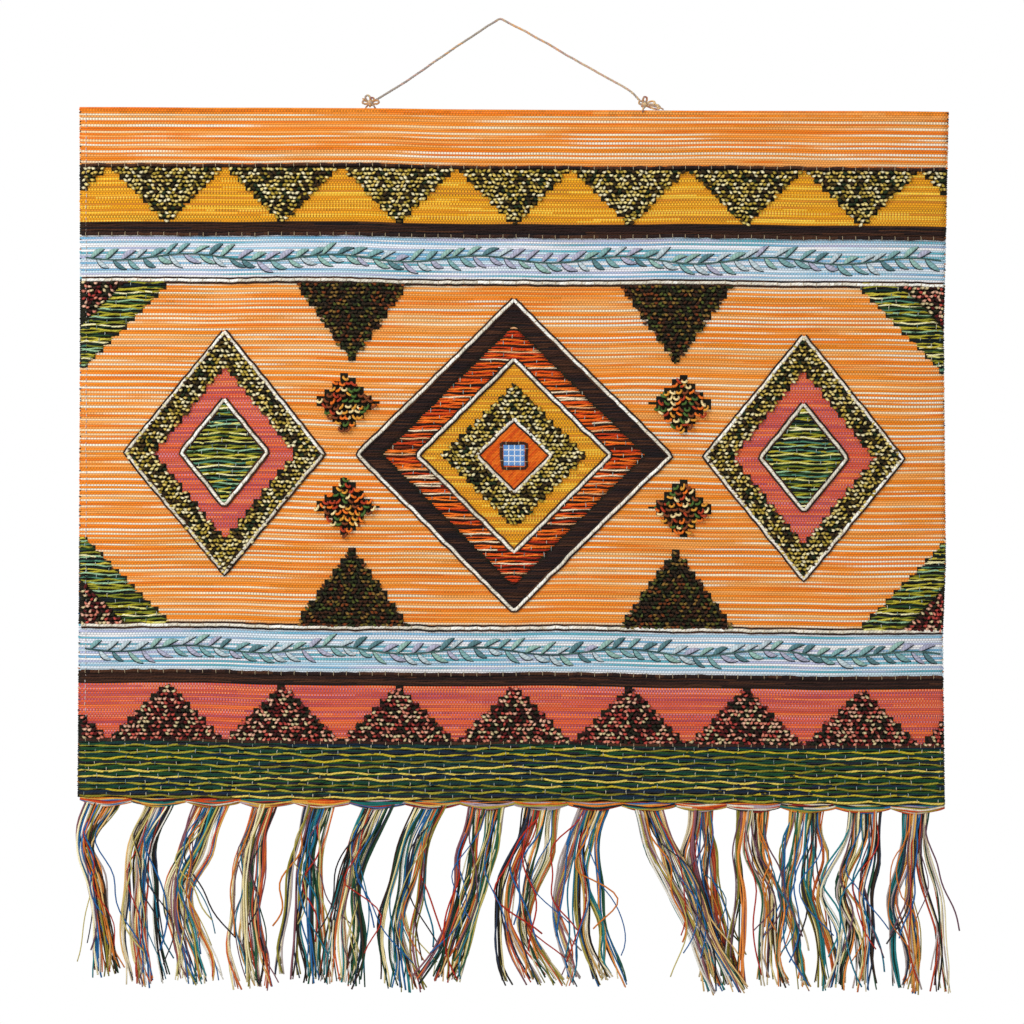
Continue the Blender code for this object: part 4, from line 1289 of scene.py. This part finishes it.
rng = np.random.default_rng(33)
edge_heap = YarnHeap()
turn = np.linspace(0, math.pi, SELVEDGE_STEPS)[None]
for side, column in ((-1, 0), (1, -1)):
    down = np.arange(*SELVEDGE_ENDS_MM, SELVEDGE_EVERY_MM)
    count = len(down)
    down = down + rng.uniform(-SELVEDGE_STRAY_MM, SELVEDGE_STRAY_MM, count)
    out = SELVEDGE_OUT_MM * rng.uniform(*SELVEDGE_OUT_UNEVEN, (count, 1)) * np.sin(turn)
    slant = rng.uniform(-SELVEDGE_SLANT_MM, SELVEDGE_SLANT_MM, (count, 1)) * turn / math.pi
    proud = -PANEL_THICKNESS / MM / 2 + SELVEDGE_HALF_MM * np.cos(turn)
    courses = panel_point(side * (HALF_WIDTH_MM - SELVEDGE_IN_MM + out), down[:, None] + slant, proud)
    own = wefts[np.clip((down / WEFT_ROW_MM).astype(int), 0, WEFT_ROWS - 1), column]
    odd = picked(SELVEDGE_COLOURS, count, rng)
    shades = np.where(rng.random((count, 1)) < OWN_COLOUR_SHARE, own, odd)
    edge_heap.add_yarns(courses, SELVEDGE_RADIUS_MM * MM, shades, across=(0, 0, 1))
edge_heap.as_piece("selvedge_loops", tapestry_yarn)

down = np.arange(*BASTING_ENDS_MM, BASTING_EVERY_MM)[:, None]
share = np.linspace(-0.5, 0.5, BASTING_STEPS)[None]
across = -HALF_WIDTH_MM + BASTING_IN_MM + rng.normal(0, BASTING_STRAY_MM, down.shape)
down = down + share * BASTING_LONG_MM * rng.uniform(*BASTING_UNEVEN, down.shape)
courses = panel_point(across, down, BASTING_TOP_MM - BASTING_DROP_MM * share ** 2)
basting_heap = YarnHeap()
basting_heap.add_yarns(courses, BASTING_RADIUS_MM * MM, linear(BASTING_COLOUR), sides=4, across=(1, 0, 0))
basting_heap.as_piece("basting_thread", tapestry_yarn)


# Below the panel the warp ends are gathered into bound bundles, end to end along the edge, and
# from each hangs a tassel of yarns of every colour. They have lain folded, so they hang in loose
# waves, gather into locks that part and cross, and fray at their tips.
Tassel = namedtuple("Tassel", "root shifts halves length lean")
TASSELS = (
    Tassel(-412, (-17, -5, 0, 6), (18, 9, 10, 12, 14), 175, 2),
    Tassel(-353, (-18, -21, -20, -11), (14, 14, 18, 20, 17), 184, 3),
    Tassel(-298, (-18, -35, -31, -19), (18, 19, 14, 20, 22), 181, 5),
    Tassel(-243, (-13, -17, -17, -9), (12, 13, 17, 20, 18), 186, 2),
    Tassel(-186, (-12, -16, -19, -18), (15, 15, 18, 21, 24), 180, 3),
    Tassel(-126, (-19, -29, -31, -37), (16, 14, 13, 18, 19), 182, 5),
    Tassel(-70, (-21, -29, -36, -29), (16, 18, 18, 19, 25), 187, 2),
    Tassel(-13, (-8, -14, -26, -42), (18, 21, 19, 20, 28), 178, 6),
    Tassel(43, (-10, -24, -28, -5), (18, 23, 22, 22, 30), 181, 3),
    Tassel(98, (-14, -15, -8, 5), (17, 22, 30, 36, 42), 180, 2),
    Tassel(154, (14, 35, 54, 76), (15, 20, 22, 17, 24), 186, 11),
    Tassel(209, (-1, 2, 11, 26), (12, 18, 15, 15, 20), 178, 0),
    Tassel(262, (-2, 9, 8, 12), (16, 21, 27, 28, 32), 180, 6),
    Tassel(318, (-6, -12, -2, 5), (17, 24, 24, 25, 24), 182, 2),
    Tassel(377, (-4, -18, -9, -10), (17, 24, 24, 20, 25), 181, 4),
    Tassel(431, (-3, -2, 5, 9), (13, 19, 28, 27, 32), 184, 2),
)
COURSE_DEPTHS = (0.0, 0.25, 0.48, 0.71, 1.0)
LEAN_DEPTH = 0.45
BUNDLE_HEIGHT_MM = 9.0
BUNDLE_END_MM = 2.4
BUNDLE_DEPTH_MM = 4.6
BUNDLE_BACK_MM = 1.0
BUNDLE_DROP_MM = 0.2
BUNDLE_LAP_MM = 2.5
BUNDLE_POINT = 0.8
BUNDLE_END_DEPTH = 0.35
BUNDLE_ROUND_FROM = 0.04
BUNDLE_ROUND = 0.80
BUNDLE_WANDER_MM = 0.5
BUNDLE_WANDER_TURNS = 1.5
BUNDLE_WANDER_FROM = (0, 6)
BUNDLE_LEAST_MM = 0.5
BUNDLE_STEPS = 15
BUNDLE_YARNS = 11
BUNDLE_YARN_RADIUS_MM = 1.2
BUNDLE_YARN_UNEVEN = (0.8, 1.2)
BUNDLE_CHANGE = 0.02
LAST_BUNDLE_IN_MM = 4
ROOT_SHARE = 0.55
ROOT_STRAY = 0.08
SETTLED_AT = 0.3
LOCKS = 6
LOCK_HALF_MM = 3.0
LOCK_WIDENS = 0.25
LOCK_STRAY = 0.15
LOCK_TIP_STRAY = 0.35
LOCK_TIP_MOST = 1.1
LOCK_WAVES = ((0.05, 0.2), (0.9, 2.0))
LOCK_LENGTHS = (0.982, 1.012)
LOCK_DEPTH_MM = 2.2
LOCK_TONES = 3
YARNS_A_LOCK = 7
YARN_STEPS = 21
YARN_RADIUS_MM = 1.02
YARN_UNEVEN = (0.7, 1.2)
YARN_TAPER = 0.15
YARN_TAPER_POWER = 6
YARN_WAVES = ((0.2, 0.9), (1.5, 3.5))
YARN_LENGTHS = (0.975, 1.035)
YARN_DEPTH_MM = 1.6
YARN_DEPTH_WAVES = ((0.2, 0.8), (1.0, 2.0))
SHORT_SHARE = 0.12
SHORT_LENGTHS = (0.80, 0.93)
ODD_SHARE = 0.45
TONE_UNEVEN = (0.85, 1.1)
FRAYED_FROM = 0.84
FRAY_MM = 3.6
FRAY_POWER = 1.3
STRAYS = 8
STRAY_RADIUS_MM = 0.76
STRAY_UNEVEN = (0.75, 1.2)
STRAY_LENGTHS = (0.66, 1.02)
STRAY_FROM = (0.1, 0.55)
STRAY_REACHES_MM = (8, 32)
STRAY_SPREAD = 0.8
STRAY_PROUD_MM = (2.5, 4.5)
STRAY_WAVES = ((1.0, 6.0), (1.0, 2.4))
BACK_SHARE = 0.45
BACK_REACH = 0.7
CLEAR_LEFT_MM = -455.0
CLEAR_RIGHT_MM = 486.0
FRINGE_COLOURS = (
    (0.76, 0.30, 0.18), (0.84, 0.42, 0.20), (0.93, 0.57, 0.26), (0.86, 0.66, 0.32), (0.93, 0.77, 0.50),
    (0.98, 0.93, 0.76), (0.95, 0.88, 0.64), (0.90, 0.84, 0.70), (0.12, 0.27, 0.19), (0.18, 0.38, 0.26),
    (0.58, 0.54, 0.20), (0.72, 0.66, 0.32), (0.16, 0.52, 0.54), (0.16, 0.42, 0.64), (0.14, 0.12, 0.11),
    (0.24, 0.17, 0.12), (0.56, 0.36, 0.40), (0.72, 0.66, 0.64), (0.18, 0.22, 0.30), (0.93, 0.91, 0.86),
)
STRAY_COLOURS = ((0.12, 0.46, 0.56), (0.72, 0.18, 0.12), (0.14, 0.40, 0.64), (0.20, 0.18, 0.20),
                 (0.84, 0.48, 0.16), (0.44, 0.30, 0.36), (0.80, 0.74, 0.44))
BUNDLE_COLOURS = (
    (0.78, 0.28, 0.10), (0.90, 0.50, 0.16), (0.88, 0.84, 0.76), (0.10, 0.42, 0.40), (0.20, 0.42, 0.66),
    (0.14, 0.12, 0.14), (0.66, 0.60, 0.22), (0.70, 0.62, 0.66), (0.60, 0.18, 0.14), (0.82, 0.66, 0.30),
)
Hang = namedtuple("Hang", "share settled middle half down top out")


def bottom_edge_mm(x_mm):
    """How high the lower edge of the panel lies at a place along it."""
    return (PANEL_TOP_Z - PANEL_HEIGHT + BOTTOM_EDGE_SLOPE * (x_mm * MM - PANEL_CENTRE_X)) / MM


def in_metres(x, y, z):
    """Places in metres, from how far across, forward and up they lie in millimetres."""
    return np.stack(np.broadcast_arrays(x, y, z), axis=-1) * MM


def waves(share, ranges, count, rng):
    """Sideways waves along some yarns, from the ranges of their heights and of their turns."""
    heights, turns = ranges
    height = rng.uniform(*heights, (count, 1))
    angle = 2 * np.pi * share * rng.uniform(*turns, (count, 1))
    return height * np.sin(angle + rng.uniform(0, 2 * np.pi, (count, 1)))


def add_bundle(heap, left, right, rng):
    """Yarns laid side by side from one end of a bundle to the other, round its belly."""
    share = np.linspace(0, 1, BUNDLE_STEPS)
    arch = np.sin(np.pi * share)
    x = left - BUNDLE_LAP_MM + (right - left + 2 * BUNDLE_LAP_MM) * share
    belly = BUNDLE_END_MM + (BUNDLE_HEIGHT_MM - BUNDLE_END_MM) * arch ** BUNDLE_POINT
    place = (np.arange(BUNDLE_YARNS)[:, None] + 0.5) / BUNDLE_YARNS
    angle = np.pi * (BUNDLE_ROUND_FROM + BUNDLE_ROUND * place)
    wander = 2 * np.pi * share * BUNDLE_WANDER_TURNS
    wander = BUNDLE_WANDER_MM * np.sin(wander + rng.uniform(*BUNDLE_WANDER_FROM, (BUNDLE_YARNS, 1)))
    sink = (1 - np.cos(angle)) / 2 * belly + wander
    out = BUNDLE_DEPTH_MM * np.sin(angle) * (BUNDLE_END_DEPTH + (1 - BUNDLE_END_DEPTH) * arch)
    y = panel_wave_mm(x) - out + BUNDLE_BACK_MM
    z = bottom_edge_mm(x) - BUNDLE_DROP_MM - np.clip(sink, BUNDLE_LEAST_MM, None)
    shades = drifting(BUNDLE_COLOURS, (BUNDLE_YARNS, BUNDLE_STEPS - 1), BUNDLE_CHANGE, rng)
    radius = BUNDLE_YARN_RADIUS_MM * MM * rng.uniform(*BUNDLE_YARN_UNEVEN, (BUNDLE_YARNS, 1))
    heap.add_yarns(in_metres(x, y, z), radius, shades)


def hang_of(tassel):
    """How a tassel hangs at each step of its length, in mm, and how settled its yarns are there."""
    knots = [(depth * tassel.length, shift, half) for depth, shift, half
             in zip(COURSE_DEPTHS, (0.0,) + tassel.shifts, tassel.halves)]
    down, sideways, half = smooth_through(knots, YARN_STEPS).T
    share = np.linspace(0, 1, YARN_STEPS)
    settled = np.clip(share / SETTLED_AT, 0, 1)
    settled = settled ** 2 * (3 - 2 * settled)
    forward = np.sin(np.minimum(1.0, share / LEAN_DEPTH) * np.pi / 2)
    top = bottom_edge_mm(tassel.root) - ROOT_SHARE * BUNDLE_HEIGHT_MM
    out = panel_wave_mm(tassel.root) - tassel.lean * forward
    return Hang(share, settled, sideways, half, down, top, out)


def add_locks(heap, root, hang, rng):
    """The yarns of one tassel, lock by lock."""
    count = LOCKS * YARNS_A_LOCK
    lock = np.repeat(np.arange(LOCKS), YARNS_A_LOCK)
    at_root = (np.linspace(-1, 1, count) + rng.normal(0, ROOT_STRAY, count))[:, None] * hang.half[0]
    begun = np.linspace(-1, 1, LOCKS) + rng.uniform(-LOCK_STRAY, LOCK_STRAY, LOCKS)
    ended = np.clip(begun + rng.normal(0, LOCK_TIP_STRAY, LOCKS), -LOCK_TIP_MOST, LOCK_TIP_MOST)
    lock_x = begun[:, None] * (1 - hang.share) + ended[:, None] * hang.share
    lock_x = lock_x * (hang.half - LOCK_HALF_MM) + waves(hang.share, LOCK_WAVES, LOCKS, rng) * hang.half
    own_x = rng.uniform(-1, 1, (count, 1)) * LOCK_HALF_MM * (1 + LOCK_WIDENS * hang.share)
    own_x = own_x + waves(hang.share, YARN_WAVES, count, rng)
    frayed = np.clip((hang.share - FRAYED_FROM) / (1 - FRAYED_FROM), 0, 1) ** FRAY_POWER
    own_x = own_x + rng.normal(0, FRAY_MM, (count, 1)) * frayed
    x = root + hang.middle + at_root * (1 - hang.settled) + (lock_x[lock] + own_x) * hang.settled
    longer = np.where(rng.random((count, 1)) < SHORT_SHARE, rng.uniform(*SHORT_LENGTHS, (count, 1)),
                      rng.uniform(*YARN_LENGTHS, (count, 1)))
    z = hang.top - hang.down * longer * rng.uniform(*LOCK_LENGTHS, LOCKS)[lock][:, None]
    y = hang.out + rng.uniform(-LOCK_DEPTH_MM, LOCK_DEPTH_MM, LOCKS)[lock][:, None]
    y = y + rng.uniform(-YARN_DEPTH_MM, YARN_DEPTH_MM, (count, 1))
    y = y + waves(hang.share, YARN_DEPTH_WAVES, count, rng) * hang.settled
    tones = picked(FRINGE_COLOURS, (LOCKS, LOCK_TONES), rng)
    shades = tones[lock, rng.integers(LOCK_TONES, size=count)]
    odd = picked(FRINGE_COLOURS, count, rng)
    shades = np.where(rng.random((count, 1)) < ODD_SHARE, odd, shades)
    shades = shades * rng.uniform(*TONE_UNEVEN, (count, 1))
    radius = YARN_RADIUS_MM * MM * rng.uniform(*YARN_UNEVEN, (count, 1))
    heap.add_yarns(in_metres(x, y, z), radius * (1 - YARN_TAPER * hang.share ** YARN_TAPER_POWER), shades)


def add_strays(heap, root, hang, rng):
    """The few yarns that have strayed from one tassel, for good or in a bow back to it."""
    column = (STRAYS, 1)
    left_at = rng.uniform(*STRAY_FROM, column)
    gone = np.clip((hang.share - left_at) / (1 - left_at), 0, 1)
    reach = rng.uniform(*STRAY_REACHES_MM, column) * rng.choice((-1, 1), column)
    bowed = BACK_REACH * np.sin(np.pi * gone)
    aside = reach * np.where(rng.random(column) < BACK_SHARE, bowed, gone ** FRAY_POWER)
    x = root + hang.middle * (1 - gone * rng.uniform(0, 1, column)) + aside
    x = x + rng.uniform(-STRAY_SPREAD, STRAY_SPREAD, column) * hang.half
    x = x + waves(hang.share, STRAY_WAVES, STRAYS, rng) * hang.settled
    z = hang.top - hang.down * rng.uniform(*STRAY_LENGTHS, column)
    y = hang.out - rng.uniform(*STRAY_PROUD_MM, column) * hang.settled
    shades = picked(STRAY_COLOURS, STRAYS, rng)
    radius = STRAY_RADIUS_MM * MM * rng.uniform(*STRAY_UNEVEN, column)
    heap.add_yarns(in_metres(np.clip(x, CLEAR_LEFT_MM, CLEAR_RIGHT_MM), y, z), radius, shades, sides=4)


rng = np.random.default_rng(41)
fringe_yarn = yarn_material("fringe_yarn", turn=3.4, plies=2, relief=0.0003)
roots = [tassel.root for tassel in TASSELS]
bundle_ends = [PANEL_CENTRE_X / MM - HALF_WIDTH_MM + BUNDLE_LAP_MM]
bundle_ends += [(start + end) / 2 for start, end in zip(roots, roots[1:])]
bundle_ends += [PANEL_CENTRE_X / MM + HALF_WIDTH_MM - LAST_BUNDLE_IN_MM - BUNDLE_LAP_MM]
for number, tassel in enumerate(TASSELS, start=1):
    fringe_heap = YarnHeap()
    add_bundle(fringe_heap, bundle_ends[number - 1], bundle_ends[number], rng)
    hang = hang_of(tassel)
    add_locks(fringe_heap, tassel.root, hang, rng)
    add_strays(fringe_heap, tassel.root, hang, rng)
    fringe = fringe_heap.as_piece(f"fringe_{number:02d}", fringe_yarn)
    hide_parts(f"tassel_{number:02d}")


# A plain pale studio floor lies well below the fringe, and a broad soft light from the upper left
# lifts the relief, with even fill from all round as in a catalogue picture.
FLOOR_Z = -3.6
FLOOR_SIZE = 27.0
FLOOR_COLOUR = (0.8, 0.8, 0.79, 1.0)
FLOOR_ROUGHNESS = 0.8
FILL = 0.7
KEY_POWER = 62.0
KEY_SIZE = 1.6
KEY_PLACE = (-1.7, -2.3, 0.9)

half = FLOOR_SIZE / 2
corners = [(-half, -half, 0.0), (half, -half, 0.0), (half, half, 0.0), (-half, half, 0.0)]
floor_mesh = bpy.data.meshes.new("floor")
floor_mesh.from_pydata(corners, [], [(0, 1, 2, 3)])
floor = bpy.data.objects.new("floor", floor_mesh)
floor.location.z = FLOOR_Z
bpy.context.scene.collection.objects.link(floor)
floor_paint = bpy.data.materials.new("floor_paint")
floor_paint.use_nodes = True
paint = floor_paint.node_tree.nodes["Principled BSDF"]
paint.inputs["Base Color"].default_value = FLOOR_COLOUR
paint.inputs["Roughness"].default_value = FLOOR_ROUGHNESS
floor_mesh.materials.append(floor_paint)

world = bpy.data.worlds.new("studio")
world.use_nodes = True
bpy.context.scene.world = world
sky = world.node_tree
background = sky.nodes["Background"]
background.inputs["Color"].default_value = (1.0, 1.0, 1.0, 1.0)
seen = wire(sky, "ShaderNodeLightPath", {}).outputs["Is Camera Ray"]
strength = reckon(sky, "MULTIPLY_ADD", seen, 1.0 - FILL, FILL)
sky.links.new(strength, background.inputs["Strength"])
bpy.context.scene.view_settings.view_transform = "Standard"

key = bpy.data.objects.new("key_light", bpy.data.lights.new("key_light", "AREA"))
key.data.energy = KEY_POWER
key.data.size = KEY_SIZE
key.location = KEY_PLACE
towards = np.array((CAMERA_X, 0.0, CAMERA_Z)) - np.array(KEY_PLACE)
key.rotation_euler = (
    math.atan2(math.hypot(towards[0], towards[1]), -towards[2]),
    0.0,
    math.atan2(-towards[0], towards[1]),
)
bpy.context.scene.collection.objects.link(key)
